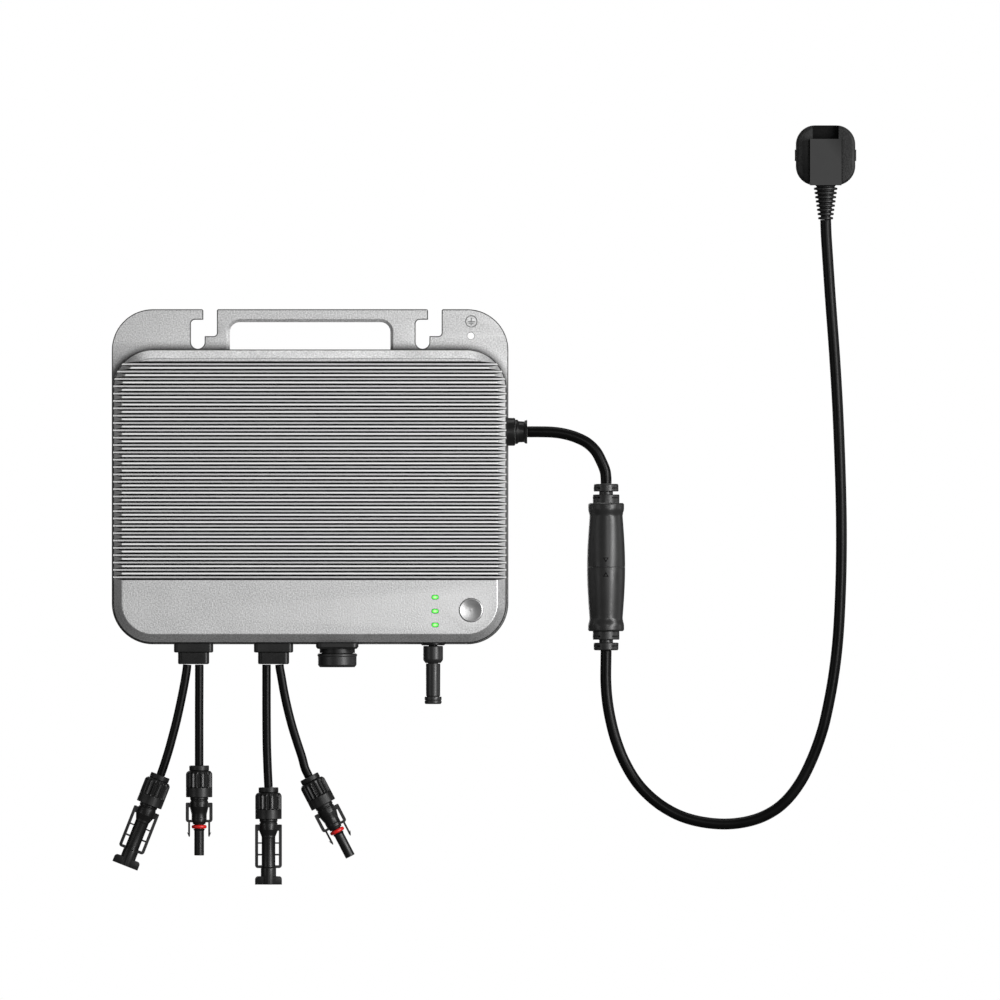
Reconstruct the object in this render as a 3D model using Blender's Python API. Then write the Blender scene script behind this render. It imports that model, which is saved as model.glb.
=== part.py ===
"""Wall-hung micro inverter with its photovoltaic leads and its mains lead.

Metres, +Z up. The wall is the plane y = 0 and the inverter stands in front of it,
towards -Y. The origin is the centre of the mounting plate's rear face.
"""

from math import cos, radians, sin, tau

import bmesh
import bpy
from mathutils import Vector
from mathutils.geometry import interpolate_bezier

GAP = 0.0003  # clearance between neighbouring pieces
ROUND_STEPS = 18  # sides of a round piece
SMALL_STEPS = 12  # sides of a small round piece
FIT_STEPS = 24  # sides of a hole or pin that another part fits
CORNER_STEPS = 5  # segments in a rounded corner
SHARP_ANGLE = radians(35)

# Mounting plate
PLATE_HALF_WIDTH = 0.1400
PLATE_HALF_HEIGHT = 0.1183
PLATE_CORNER = 0.0290
PLATE_THICKNESS = 0.0060
HANDLE_HALF_WIDTH = 0.0567
HANDLE_TOP = 0.1092
HANDLE_BOTTOM = 0.0894
HANDLE_CORNER = 0.0070
HANDLE_BEVEL = 0.0022
SLOT_MOUTH_RIGHTS = (-0.0658, 0.0929)  # right wall of each hook slot
SLOT_MOUTH_WIDTH = 0.0096
SLOT_POCKET_WIDTH = 0.0184
SLOT_SEAT_WIDTH = 0.0098
SLOT_LIP_BOTTOM = 0.1109
SLOT_STEP = 0.0993
SLOT_SEAT_BOTTOM = 0.0904
EARTH_HOLE = (0.1135, 0.0995)
EARTH_HOLE_RADIUS = 0.0025

# Finned housing
HOUSING_HALF_WIDTH = 0.1386
HOUSING_TOP = 0.0897
HOUSING_BOTTOM = -0.11725
HOUSING_CORNER = 0.0280
HOUSING_FRONT = -0.0420
HOUSING_REAR = -(PLATE_THICKNESS + GAP)
CHAMFER_WIDTH = 0.0063
CHAMFER_DEPTH = 0.0076
WALL = 0.0040
CAVITY_FLOOR = -0.0305
PANEL_FLOOR = -0.0385
PANEL_POCKET = (-0.1060, -0.0760)  # lowest and highest z of the pocket behind the panel
PANEL_POCKET_HALF_WIDTH = 0.1240
REBATE_WIDTH = 0.0020
REBATE_DEPTH = 0.0018
GROOVE_COUNT = 30
GROOVE_TOP = 0.0793
GROOVE_PITCH = 0.005176
GROOVE_DEPTH = 0.0080
GROOVE_MOUTH = 0.0037
GROOVE_FLOOR = 0.0016

# Screws that close the housing
SCREW_X = 0.1305
SCREW_LEVELS = (0.0580, -0.0850)
SCREW_RADIUS = 0.0020
SCREW_LENGTH = 0.0160
SCREW_HEAD_RADIUS = 0.0036
SCREW_HEAD_HEIGHT = 0.0022
SCREW_HEAD_DEPTH = 0.0030  # depth of the counterbore in the plate
SOCKET_RADIUS = 0.0018
BOSS_RADIUS = 0.0050

# Control panel
LED_X = 0.0884
LED_LEVELS = {"led_lens_upper": -0.0849, "led_lens_middle": -0.0947, "led_lens_lower": -0.1044}
LED_HALF_WIDTH = 0.00235
LED_HALF_HEIGHT = 0.0014
LED_PROUD = 0.0002
BUTTON = (0.1137, -0.0940)
BUTTON_RADIUS = 0.0083
BUTTON_PROUD = 0.0004
BUTTON_DISH = 0.0009
BUTTON_SKIRT_RADIUS = 0.0097
BUTTON_STEM_RADIUS = 0.0022
BUTTON_STEM_END = -0.0216
SWITCH_HEIGHT = 0.0071
SWITCH_HALF_WIDTH = 0.0062
SPRING_WIRE_RADIUS = 0.00035
SPRING_RADIUS = 0.0042
SPRING_TURNS = 4
SPRING_STEPS = 8  # points in a turn

# Electronics
BOARD_FRONT = -0.0126
BOARD_THICKNESS = 0.0016
BOARD_HALF_WIDTH = 0.1230
BOARD_LEVELS = (-0.1060, 0.0780)
PART_TOP = -0.0289  # front of the tallest parts on the board

# Row of fittings under the housing
FITTING_Y = -0.0220
PV_ENTRIES = {"pv_entry_left": -0.0820, "pv_entry_right": -0.0256}
PV_FLANGE = (0.0276, 0.0170, 0.0064)
PV_BODY = (0.0219, 0.0136, 0.0082)
PV_STUB = (0.0180, 0.0090, 0.0090)
PV_LEAD_RADIUS = 0.00305
PORT_X = 0.0193
PORT_FLANGE = 0.0299
PORT_FLANGE_HEIGHT = 0.0038
PORT_NECK_RADIUS = 0.0127
PORT_THREAD_RADIUS = 0.0110
PORT_BORE_RADIUS = 0.0080
PORT_STUB_RADIUS = 0.0087
CAP_RADIUS = 0.0140
CAP_TOP = -0.1246
CAP_BOTTOM = -0.1343
CAP_END_WALL = 0.0018
CAP_BORE_RADIUS = PORT_THREAD_RADIUS + 0.0004
FITTING_STUB = 0.0090  # reach of a fitting's shank into the housing
SEAL_THICKNESS = 0.0017
ANTENNA_X = 0.0869
ANTENNA_DISC_RADIUS = 0.0085
ANTENNA_STUB_RADIUS = 0.00305
ANTENNA_BARREL_RADIUS = 0.0050
ANTENNA_NUT_RADIUS = 0.0070
ANTENNA_NUT_TOP = -0.11935
ANTENNA_NUT_BOTTOM = -0.1314
ANTENNA_ROD_RADIUS = 0.0051
ANTENNA_TIP_RADIUS = 0.0060
ANTENNA_TIP_TOP = -0.1551
ANTENNA_END = -0.1603
ANTENNA_ENGAGEMENT = 0.0070  # length of the stub inside the nut
ANTENNA_FOOT_RADIUS = 0.0046
ANTENNA_FOOT_HEIGHT = 0.0020
ANTENNA_NECK_RADIUS = 0.0036

# Mains outlet, inline coupler and plug
GLAND_Z = 0.0317
GLAND_BARREL_RADIUS = 0.0075
GLAND_END = 0.1533
MAINS_RADIUS = 0.0039
COUPLER_X = 0.2089
COUPLER_TOP = -0.0185
COUPLER_SEAM = -0.0637
COUPLER_BOTTOM = 2 * COUPLER_SEAM - COUPLER_TOP
COUPLER_COLLAR_RADIUS = 0.0125
COUPLER_WAIST_RADIUS = 0.0117
COUPLER_SEAM_RADIUS = 0.01345
COUPLER_COLLAR = 0.0076
COUPLER_BORE_RADIUS = 0.0096
COUPLER_SPIGOT_RADIUS = 0.0092
COUPLER_SPIGOT_LENGTH = 0.0220
COUPLER_RELIEF = 0.0135
PIN_CIRCLE = 0.0048
PIN_RADIUS = 0.00125
PIN_HOLE_RADIUS = 0.0016
PIN_LENGTH = 0.0130
PLUG_X = 0.3634
PLUG_Z = 0.2264
PLUG_RELIEF_Y = -0.0450
PLUG_NOSE_FACE = -0.0195
PLUG_NOSE_RADIUS = 0.0184
PLUG_FLANGE_REAR = -0.0365
PLUG_FLANGE_FRONT = -0.0470
PLUG_HALF_WIDTH = 0.0216
PLUG_HALF_HEIGHT = 0.02145
PLUG_CORNER = 0.0135
PLUG_GRIP_HALF_WIDTH = 0.0116
PLUG_GRIP_TOP = 0.2382
PLUG_GRIP_FRONT = -0.0560
PLUG_PIN_SPREAD = 0.0095
PLUG_PIN_RADIUS = 0.0024
PLUG_PIN_LENGTH = 0.0190
PLUG_RELIEF_TOP = 0.2047
PLUG_RELIEF_BOTTOM = 0.1810
PLUG_RELIEF_RIBS = 8

# Routes of the cords, as points from exit to far end
MAINS_TAIL_ROUTE = [
    (GLAND_END + GAP, FITTING_Y, GLAND_Z),
    (0.1630, FITTING_Y, 0.0317),
    (0.1715, FITTING_Y, 0.0314),
    (0.1797, FITTING_Y, 0.0302),
    (0.1880, FITTING_Y, 0.0277),
    (0.1958, FITTING_Y, 0.0237),
    (0.2018, FITTING_Y, 0.0178),
    (0.2057, FITTING_Y, 0.0105),
    (0.2081, FITTING_Y, 0.0045),
    (0.2088, FITTING_Y, 0.0000),
    (COUPLER_X, FITTING_Y, COUPLER_TOP + COUPLER_RELIEF + GAP),
]
MAINS_LEAD_ROUTE = [
    (COUPLER_X, FITTING_Y, COUPLER_BOTTOM - COUPLER_RELIEF - GAP),
    (0.2088, -0.0220, -0.1300),
    (0.2087, -0.0220, -0.1433),
    (0.2097, -0.0220, -0.1575),
    (0.2121, -0.0220, -0.1716),
    (0.2158, -0.0220, -0.1857),
    (0.2213, -0.0220, -0.1998),
    (0.2294, -0.0221, -0.2139),
    (0.2385, -0.0223, -0.2243),
    (0.2500, -0.0226, -0.2333),
    (0.2639, -0.0230, -0.2402),
    (0.2806, -0.0236, -0.2441),
    (0.2978, -0.0244, -0.2447),
    (0.3147, -0.0254, -0.2414),
    (0.3278, -0.0264, -0.2350),
    (0.3378, -0.0275, -0.2262),
    (0.3467, -0.0287, -0.2139),
    (0.3537, -0.0299, -0.1998),
    (0.3591, -0.0311, -0.1857),
    (0.3632, -0.0322, -0.1716),
    (0.3687, -0.0342, -0.1433),
    (0.3721, -0.0360, -0.1151),
    (0.3740, -0.0380, -0.0799),
    (0.3746, -0.0397, -0.0446),
    (0.3741, -0.0411, -0.0093),
    (0.3723, -0.0428, 0.0400),
    (0.3699, -0.0439, 0.0823),
    (0.3668, -0.0447, 0.1247),
    (0.3649, -0.0450, 0.1529),
    (0.3638, -0.0450, 0.1700),
    (PLUG_X, PLUG_RELIEF_Y, PLUG_RELIEF_BOTTOM - GAP),
]
LEAD_TOP = HOUSING_BOTTOM - GAP - PV_FLANGE[2] - PV_BODY[2] - GAP
PV_LEAD_ROUTES = {
    "pv_lead_1": [
        (-0.0866, FITTING_Y, LEAD_TOP),
        (-0.0867, FITTING_Y, -0.1345),
        (-0.0875, FITTING_Y, -0.1400),
        (-0.0891, FITTING_Y, -0.1490),
        (-0.0914, FITTING_Y, -0.1603),
        (-0.0939, FITTING_Y, -0.1716),
        (-0.0968, FITTING_Y, -0.1829),
        (-0.0999, FITTING_Y, -0.1941),
        (-0.1033, FITTING_Y, -0.2048),
        (-0.1052, FITTING_Y, -0.2102),
    ],
    "pv_lead_2": [
        (-0.0780, FITTING_Y, LEAD_TOP),
        (-0.0780, FITTING_Y, -0.1400),
        (-0.0781, FITTING_Y, -0.1640),
        (-0.0781, FITTING_Y, -0.1880),
        (-0.0781, FITTING_Y, -0.2033),
    ],
    "pv_lead_3": [
        (-0.0306, FITTING_Y, LEAD_TOP),
        (-0.0306, FITTING_Y, -0.1400),
        (-0.0306, FITTING_Y, -0.1640),
        (-0.0304, FITTING_Y, -0.1880),
        (-0.0298, FITTING_Y, -0.2060),
        (-0.0292, FITTING_Y, -0.2187),
    ],
    "pv_lead_4": [
        (-0.0214, FITTING_Y, LEAD_TOP),
        (-0.0213, FITTING_Y, -0.1345),
        (-0.0203, FITTING_Y, -0.1400),
        (-0.0182, FITTING_Y, -0.1520),
        (-0.0156, FITTING_Y, -0.1640),
        (-0.0125, FITTING_Y, -0.1760),
        (-0.0091, FITTING_Y, -0.1870),
        (-0.0055, FITTING_Y, -0.1980),
        (-0.0035, FITTING_Y, -0.2055),
        (-0.0008, FITTING_Y, -0.2112),
    ],
}
CORD_SPACING = 2.3  # distance between a cord's points, in cord diameters
CORD_END = 0.25  # distance from a cord's end to the point beside it, in spacings

# Photovoltaic connectors, along their own axis from the lead's end
CONNECTORS = {
    "pv_socket_1": ("pv_lead_1", 21.5),
    "pv_plug_2": ("pv_lead_2", 0.0),
    "pv_socket_3": ("pv_lead_3", 0.0),
    "pv_plug_4": ("pv_lead_4", -27.4),
}
NUT_RIBS = 9
NUT_LENGTH = 0.0224
NUT_COLLAR_RADIUS = 0.0070
NUT_COLLAR = 0.0037
NUT_RADIUS = 0.0093
NUT_RIB_DEPTH = 0.0007
THREAD_RADIUS = 0.0050
THREAD_TOP = 0.0125
NECK_RADIUS = 0.0064
NECK_END = 0.0263
WING_HALF_WIDTH = 0.00945
WING_INNER = 0.0044
WING_HALF_DEPTH = 0.0024
SOCKET_CONE = (0.0307, 0.0350)  # where the body tapers to the tube
SOCKET_TUBE_RADIUS = 0.0047
SOCKET_TAIL_RADIUS = 0.0054
SOCKET_BORE_RADIUS = 0.00385
SOCKET_WING_END = 0.0570
SOCKET_END_BLOCK = 0.0627
SOCKET_END_HALF_DEPTH = 0.0042
SOCKET_END = 0.0686
SOCKET_BORE_END = 0.0440
SOCKET_WINDOW_WIDTHS = (0.0048, 0.0073)
SOCKET_WINDOWS = ((0.0307, 0.0388), (0.0398, 0.0469), (0.0481, 0.0550))
PLUG_WING_END = 0.0401
PLUG_CONE = (0.0296, 0.0345)
PLUG_TUBE_RADIUS = 0.0051
PLUG_BARREL_RADIUS = 0.00345
PLUG_END = 0.0635
PLUG_BORE_RADIUS = 0.0019
PLUG_BORE_END = 0.0500
PLUG_WINDOW_WIDTHS = (0.0053, 0.0072)
PLUG_WINDOW = (0.0296, 0.0383)
LATCH_END = 0.0505
LATCH_INNER = 0.0064
LATCH_OUTER = 0.00776
LATCH_BARB = 0.0007
LATCH_BARB_LENGTH = 0.0032
LATCH_HALF_DEPTH = 0.0018
SEAL_RING_LEVELS = (0.0418, 0.0446)
SEAL_RING_INNER = 0.00375
SEAL_RING_OUTER = 0.00533
SEAL_LIP_RADIUS = 0.0042  # collar that keeps the seal ring in its groove


def clear_scene():
    """Remove every object the file starts with."""
    for old in list(bpy.data.objects):
        bpy.data.objects.remove(old)


def make_material(name, colour, roughness, metallic=0.0):
    """Principled material in one colour."""
    made = bpy.data.materials.new(name)
    made.use_nodes = True
    shader = made.node_tree.nodes["Principled BSDF"]
    shader.inputs["Base Color"].default_value = (*colour, 1.0)
    shader.inputs["Roughness"].default_value = roughness
    shader.inputs["Metallic"].default_value = metallic
    made.diffuse_color = (*colour, 1.0)
    return made


def make_materials():
    """One material for each finish on the inverter."""
    return {
        "casting": make_material("cast_aluminium", (0.48, 0.48, 0.49), 0.45, 0.6),
        "button": make_material("button_metal", (0.42, 0.42, 0.43), 0.35, 0.6),
        "black": make_material("black_nylon", (0.020, 0.020, 0.022), 0.40),
        "rubber": make_material("black_rubber", (0.012, 0.012, 0.013), 0.50),
        "jacket": make_material("cable_jacket", (0.010, 0.010, 0.011), 0.35),
        "gasket": make_material("silicone_gasket", (0.25, 0.25, 0.26), 0.70),
        "lens": make_material("green_lens", (0.05, 0.60, 0.08), 0.20),
        "red_seal": make_material("red_seal", (0.60, 0.02, 0.02), 0.45),
        "steel": make_material("steel", (0.55, 0.55, 0.56), 0.30, 1.0),
        "contact": make_material("nickel_contact", (0.62, 0.60, 0.55), 0.25, 1.0),
        "board": make_material("circuit_board", (0.02, 0.14, 0.06), 0.45),
        "ferrite": make_material("ferrite", (0.06, 0.06, 0.065), 0.75),
        "copper": make_material("copper_winding", (0.55, 0.22, 0.08), 0.35, 0.8),
        "part": make_material("moulded_part", (0.05, 0.09, 0.20), 0.50),
        "pad": make_material("thermal_pad", (0.50, 0.55, 0.60), 0.80),
    }


def add_piece(name, mesh, finish, place=(0.0, 0.0, 0.0), turn=(0.0, 0.0, 0.0), parent=None):
    """Link a mesh to the scene as one named piece."""
    piece = bpy.data.objects.new(name, mesh)
    piece.location = place
    piece.rotation_euler = turn
    piece.parent = parent
    if finish:
        mesh.materials.append(finish)
    bpy.context.scene.collection.objects.link(piece)
    return piece


def add_cutter(name, mesh, place=(0.0, 0.0, 0.0), turn=(0.0, 0.0, 0.0), parent=None):
    """A hidden shape that a Boolean modifier reads."""
    cutter = add_piece(name, mesh, None, place, turn, parent)
    cutter.hide_render = True
    cutter.display_type = "WIRE"
    return cutter


def combine(piece, cutter, operation):
    """Add a Boolean modifier to a piece."""
    modifier = piece.modifiers.new(cutter.name, "BOOLEAN")
    modifier.operation = operation
    modifier.object = cutter


def finish_mesh(name, shape, smooth=False):
    """Turn a closed bmesh into a mesh whose faces point out."""
    bmesh.ops.recalc_face_normals(shape, faces=shape.faces)
    mesh = bpy.data.meshes.new(name)
    shape.to_mesh(mesh)
    shape.free()
    if smooth:
        mesh.shade_smooth()
        mesh.set_sharp_from_angle(angle=SHARP_ANGLE)
    return mesh


def bridge(shape, ring, following):
    """Faces between two rings, either of which may be a single pole."""
    count = max(len(ring), len(following))
    for k in range(count):
        after = (k + 1) % count
        if len(ring) == 1:
            shape.faces.new((ring[0], following[k], following[after]))
        elif len(following) == 1:
            shape.faces.new((ring[k], following[0], ring[after]))
        else:
            shape.faces.new((ring[k], following[k], following[after], ring[after]))


def loft(name, rings, smooth=False):
    """Closed body through rings of equal count, capped at both ends."""
    shape = bmesh.new()
    made = [[shape.verts.new(point) for point in ring] for ring in rings]
    for ring, following in zip(made, made[1:]):
        bridge(shape, ring, following)
    shape.faces.new(made[0])
    shape.faces.new(made[-1])
    return finish_mesh(name, shape, smooth)


def turned(name, profile, steps=ROUND_STEPS):
    """Body turned about Z from (radius, height) points.

    A profile that starts and ends on the axis is solid, any other is a closed loop.
    """
    shape = bmesh.new()
    rings = []
    for radius, height in profile:
        if radius == 0.0:
            rings.append([shape.verts.new((0.0, 0.0, height))])
            continue
        angles = [tau * k / steps for k in range(steps)]
        rings.append([shape.verts.new((radius * cos(a), radius * sin(a), height)) for a in angles])
    pairs = list(zip(rings, rings[1:]))
    if profile[0][0] > 0.0:
        pairs.append((rings[-1], rings[0]))
    for ring, following in pairs:
        bridge(shape, ring, following)
    return finish_mesh(name, shape, smooth=True)


def rod(name, radius, low, high, steps=SMALL_STEPS):
    """Plain cylinder about Z."""
    return turned(name, [(0.0, high), (radius, high), (radius, low), (0.0, low)], steps)


def blocks(name, corners):
    """One mesh of boxes, each given by its lowest and highest corner."""
    shape = bmesh.new()
    for low, high in corners:
        made = bmesh.ops.create_cube(shape, size=1.0)["verts"]
        for vert in made:
            for axis in range(3):
                vert.co[axis] = high[axis] if vert.co[axis] > 0.0 else low[axis]
    return finish_mesh(name, shape)


def rounded_outline(left, right, low, high, radius, steps=CORNER_STEPS):
    """Counter-clockwise outline of a rounded rectangle, as pairs."""
    centres = [
        (right - radius, high - radius),
        (left + radius, high - radius),
        (left + radius, low + radius),
        (right - radius, low + radius),
    ]
    outline = []
    for quarter, (x, z) in enumerate(centres):
        for k in range(steps + 1):
            angle = tau / 4 * (quarter + k / steps)
            outline.append((x + radius * cos(angle), z + radius * sin(angle)))
    return outline


def at_depth(outline, y):
    """An outline in the XZ plane at one depth."""
    return [(x, y, z) for x, z in outline]


def at_level(outline, z):
    """An outline in the XY plane at one level."""
    return [(x, y, z) for x, y in outline]


def housing_outline(inset):
    """Front outline of the housing, moved in by inset."""
    return rounded_outline(
        inset - HOUSING_HALF_WIDTH,
        HOUSING_HALF_WIDTH - inset,
        HOUSING_BOTTOM + inset,
        HOUSING_TOP - inset,
        HOUSING_CORNER - inset,
    )


def smooth_route(points, spacing):
    """Points on a smooth curve through a route's points.

    They lie a fixed distance apart, with one more close to each end, so that the
    ends face straight out.
    """
    route = [Vector(point) for point in points]
    last = len(route) - 1
    tangents = [(route[min(i + 1, last)] - route[max(i - 1, 0)]).normalized() for i in range(last + 1)]
    fine = [route[0]]
    for i in range(last):
        reach = (route[i + 1] - route[i]).length / 3
        start = route[i] + tangents[i] * reach
        end = route[i + 1] - tangents[i + 1] * reach
        fine += interpolate_bezier(route[i], start, end, route[i + 1], 24)[1:]
    travelled = [0.0]
    for before, after in zip(fine, fine[1:]):
        travelled.append(travelled[-1] + (after - before).length)
    length = travelled[-1]
    count = max(2, round(length / spacing))
    targets = [length * k / count for k in range(count + 1)]
    targets.insert(1, spacing * CORD_END)
    targets.insert(-1, length - spacing * CORD_END)
    found = []
    place = 0
    for target in targets:
        while place < len(fine) - 2 and travelled[place + 1] < target:
            place += 1
        share = (target - travelled[place]) / (travelled[place + 1] - travelled[place])
        found.append(fine[place].lerp(fine[place + 1], share))
    return found


def add_tube(name, points, radius, finish, sides_level=2):
    """Round tube along points, with filled ends."""
    curve = bpy.data.curves.new(name, "CURVE")
    curve.dimensions = "3D"
    curve.bevel_depth = radius
    curve.bevel_resolution = sides_level
    curve.use_fill_caps = True
    curve.render_resolution_u = 0
    spline = curve.splines.new("POLY")
    spline.points.add(len(points) - 1)
    for point, place in zip(spline.points, points):
        point.co = (*place, 1.0)
    curve.materials.append(finish)
    tube = bpy.data.objects.new(name, curve)
    bpy.context.scene.collection.objects.link(tube)


def slot_outline(right):
    """Outline of one hook slot: a mouth in the top edge, a pocket and a round seat."""
    mouth_left = right - SLOT_MOUTH_WIDTH
    left = right - SLOT_POCKET_WIDTH
    seat = SLOT_SEAT_WIDTH / 2
    above = PLATE_HALF_HEIGHT + 0.0050
    lip = 0.0030  # radius of the pocket's upper corner
    corner = 0.0024  # radius of the inside corner at the step
    outline = [(right, above), (mouth_left, above)]
    outline.append((mouth_left, SLOT_LIP_BOTTOM))
    for k in range(CORNER_STEPS + 1):
        angle = tau / 4 * (1 + k / CORNER_STEPS)
        outline.append((left + lip + lip * cos(angle), SLOT_LIP_BOTTOM - lip + lip * sin(angle)))
    for k in range(2 * CORNER_STEPS + 1):
        angle = tau / 2 * (1 + k / (2 * CORNER_STEPS))
        outline.append((left + seat + seat * cos(angle), SLOT_SEAT_BOTTOM + seat + seat * sin(angle)))
    outline.append((left + SLOT_SEAT_WIDTH, SLOT_STEP))
    for k in range(CORNER_STEPS + 1):
        angle = tau / 4 * (3 + k / CORNER_STEPS)
        outline.append((right - corner + corner * cos(angle), SLOT_STEP + corner + corner * sin(angle)))
    return outline


def handle_outline(grow):
    """Outline of the handle opening: round above, square where the housing closes it."""
    right = HANDLE_HALF_WIDTH + grow
    radius = HANDLE_CORNER + grow
    upper = rounded_outline(-right, right, HANDLE_BOTTOM, HANDLE_TOP + grow, radius)
    return upper[: 2 * (CORNER_STEPS + 1)] + [(-right, HANDLE_BOTTOM), (right, HANDLE_BOTTOM)]


def make_back_plate(finishes):
    """Cast plate with two hook slots, a carrying handle, an earth hole and screw holes."""
    outline = rounded_outline(
        -PLATE_HALF_WIDTH, PLATE_HALF_WIDTH, -PLATE_HALF_HEIGHT, PLATE_HALF_HEIGHT, PLATE_CORNER
    )
    rings = [at_depth(outline, 0.0), at_depth(outline, -PLATE_THICKNESS)]
    plate = add_piece("back_plate", loft("back_plate", rings), finishes["casting"])
    front = -PLATE_THICKNESS - 0.0010
    rear = 0.0010
    for number, right in enumerate(SLOT_MOUTH_RIGHTS, 1):
        outline = slot_outline(right)
        rings = [at_depth(outline, rear), at_depth(outline, front)]
        combine(plate, add_cutter(f"cut_slot_{number}", loft("slot", rings)), "DIFFERENCE")
    rings = []
    for y, grow in ((rear, 0.0), (HANDLE_BEVEL - PLATE_THICKNESS, 0.0), (front, HANDLE_BEVEL + 0.0010)):
        rings.append(at_depth(handle_outline(grow), y))
    combine(plate, add_cutter("cut_handle", loft("handle", rings)), "DIFFERENCE")
    x, z = EARTH_HOLE
    earth = rod("earth_hole", EARTH_HOLE_RADIUS, -0.010, 0.010, FIT_STEPS)
    combine(plate, add_cutter("cut_earth", earth, (x, 0.0, z), (tau / 4, 0.0, 0.0)), "DIFFERENCE")
    for number, (x, z) in enumerate(screw_places(), 1):
        radius = SCREW_RADIUS + GAP
        wide = SCREW_HEAD_RADIUS + GAP
        profile = [(0.0, -0.010), (radius, -0.010), (radius, -SCREW_HEAD_DEPTH)]
        profile += [(wide, -SCREW_HEAD_DEPTH), (wide, 0.010), (0.0, 0.010)]
        hole = turned("screw_hole", profile, SMALL_STEPS)
        turn = (-tau / 4, 0.0, 0.0)
        combine(plate, add_cutter(f"cut_screw_{number}", hole, (x, 0.0, z), turn), "DIFFERENCE")


def screw_places():
    """Places of the screws that close the housing."""
    return [(side * SCREW_X, level) for level in SCREW_LEVELS for side in (-1, 1)]


def make_screws(finishes):
    """Pan-head screws from the rear of the plate into the housing's bosses."""
    seat = SCREW_HEAD_DEPTH - GAP
    head = seat - SCREW_HEAD_HEIGHT
    profile = [
        (0.0, -head - 0.0012),
        (SOCKET_RADIUS, -head - 0.0012),
        (SOCKET_RADIUS, -head),
        (SCREW_HEAD_RADIUS, -head),
        (SCREW_HEAD_RADIUS, -seat),
        (SCREW_RADIUS, -seat),
        (SCREW_RADIUS, -SCREW_LENGTH),
        (0.0, -SCREW_LENGTH),
    ]
    for number, (x, z) in enumerate(screw_places(), 1):
        mesh = turned("screw", profile, SMALL_STEPS)
        add_piece(f"cover_screw_{number}", mesh, finishes["steel"], (x, 0.0, z), (-tau / 4, 0.0, 0.0))


def groove_cutter():
    """The grooves between the fins, each a bar with sloping flanks."""
    reach = HOUSING_HALF_WIDTH + 0.010
    proud = 0.0010
    shape = bmesh.new()
    slope = (GROOVE_MOUTH - GROOVE_FLOOR) / 2 / GROOVE_DEPTH
    mouth = GROOVE_MOUTH / 2 + slope * proud
    for k in range(GROOVE_COUNT):
        level = GROOVE_TOP - k * GROOVE_PITCH
        section = [
            (HOUSING_FRONT - proud, level + mouth),
            (HOUSING_FRONT - proud, level - mouth),
            (HOUSING_FRONT + GROOVE_DEPTH, level - GROOVE_FLOOR / 2),
            (HOUSING_FRONT + GROOVE_DEPTH, level + GROOVE_FLOOR / 2),
        ]
        ends = [[shape.verts.new((x, y, z)) for y, z in section] for x in (-reach, reach)]
        bridge(shape, ends[0], ends[1])
        shape.faces.new(ends[0])
        shape.faces.new(ends[1])
    return add_cutter("cut_grooves", finish_mesh("grooves", shape))


def make_housing(finishes):
    """Cast front housing: chamfered box with fins, hollow behind, open for its fittings."""
    rings = [
        at_depth(housing_outline(0.0), HOUSING_REAR),
        at_depth(housing_outline(0.0), HOUSING_FRONT + CHAMFER_DEPTH),
        at_depth(housing_outline(CHAMFER_WIDTH), HOUSING_FRONT),
    ]
    housing = add_piece("fin_housing", loft("fin_housing", rings), finishes["casting"])
    combine(housing, groove_cutter(), "DIFFERENCE")
    rings = [at_depth(housing_outline(WALL), y) for y in (0.0, CAVITY_FLOOR)]
    combine(housing, add_cutter("cut_cavity", loft("cavity", rings)), "DIFFERENCE")
    low, high = PANEL_POCKET
    outline = rounded_outline(-PANEL_POCKET_HALF_WIDTH, PANEL_POCKET_HALF_WIDTH, low, high, 0.0120)
    rings = [at_depth(outline, y) for y in (CAVITY_FLOOR + 0.0010, PANEL_FLOOR)]
    combine(housing, add_cutter("cut_panel", loft("panel", rings)), "DIFFERENCE")
    add_bosses(housing)
    outline = housing_outline(REBATE_WIDTH)
    rings = [at_depth(outline, y) for y in (0.0, HOUSING_REAR - REBATE_DEPTH)]
    combine(housing, add_cutter("cut_rebate", loft("rebate", rings)), "DIFFERENCE")
    cut_panel_holes(housing)
    cut_fitting_holes(housing)


def add_bosses(housing):
    """Four screw bosses beside the housing's walls, each with a blind hole."""
    for number, (x, z) in enumerate(screw_places(), 1):
        place = (x, 0.0, z)
        turn = (-tau / 4, 0.0, 0.0)
        boss = rod("boss", BOSS_RADIUS, CAVITY_FLOOR - 0.0010, HOUSING_REAR - REBATE_DEPTH - 0.0005)
        combine(housing, add_cutter(f"add_boss_{number}", boss, place, turn), "UNION")
        hole = rod("tapped_hole", SCREW_RADIUS + GAP, -SCREW_LENGTH - 0.0010, 0.0)
        combine(housing, add_cutter(f"cut_boss_{number}", hole, place, turn), "DIFFERENCE")


def cut_panel_holes(housing):
    """Holes in the panel for the button and the three light pipes."""
    x, z = BUTTON
    turn = (tau / 4, 0.0, 0.0)
    hole = rod("button_hole", BUTTON_RADIUS + GAP, 0.0300, 0.0500, ROUND_STEPS)
    combine(housing, add_cutter("cut_button", hole, (x, 0.0, z), turn), "DIFFERENCE")
    for name, level in LED_LEVELS.items():
        rings = led_rings(GAP, (-0.0300, -0.0500))
        cutter = add_cutter(f"cut_{name}", loft("led_hole", rings), (LED_X, 0.0, level))
        combine(housing, cutter, "DIFFERENCE")


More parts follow.
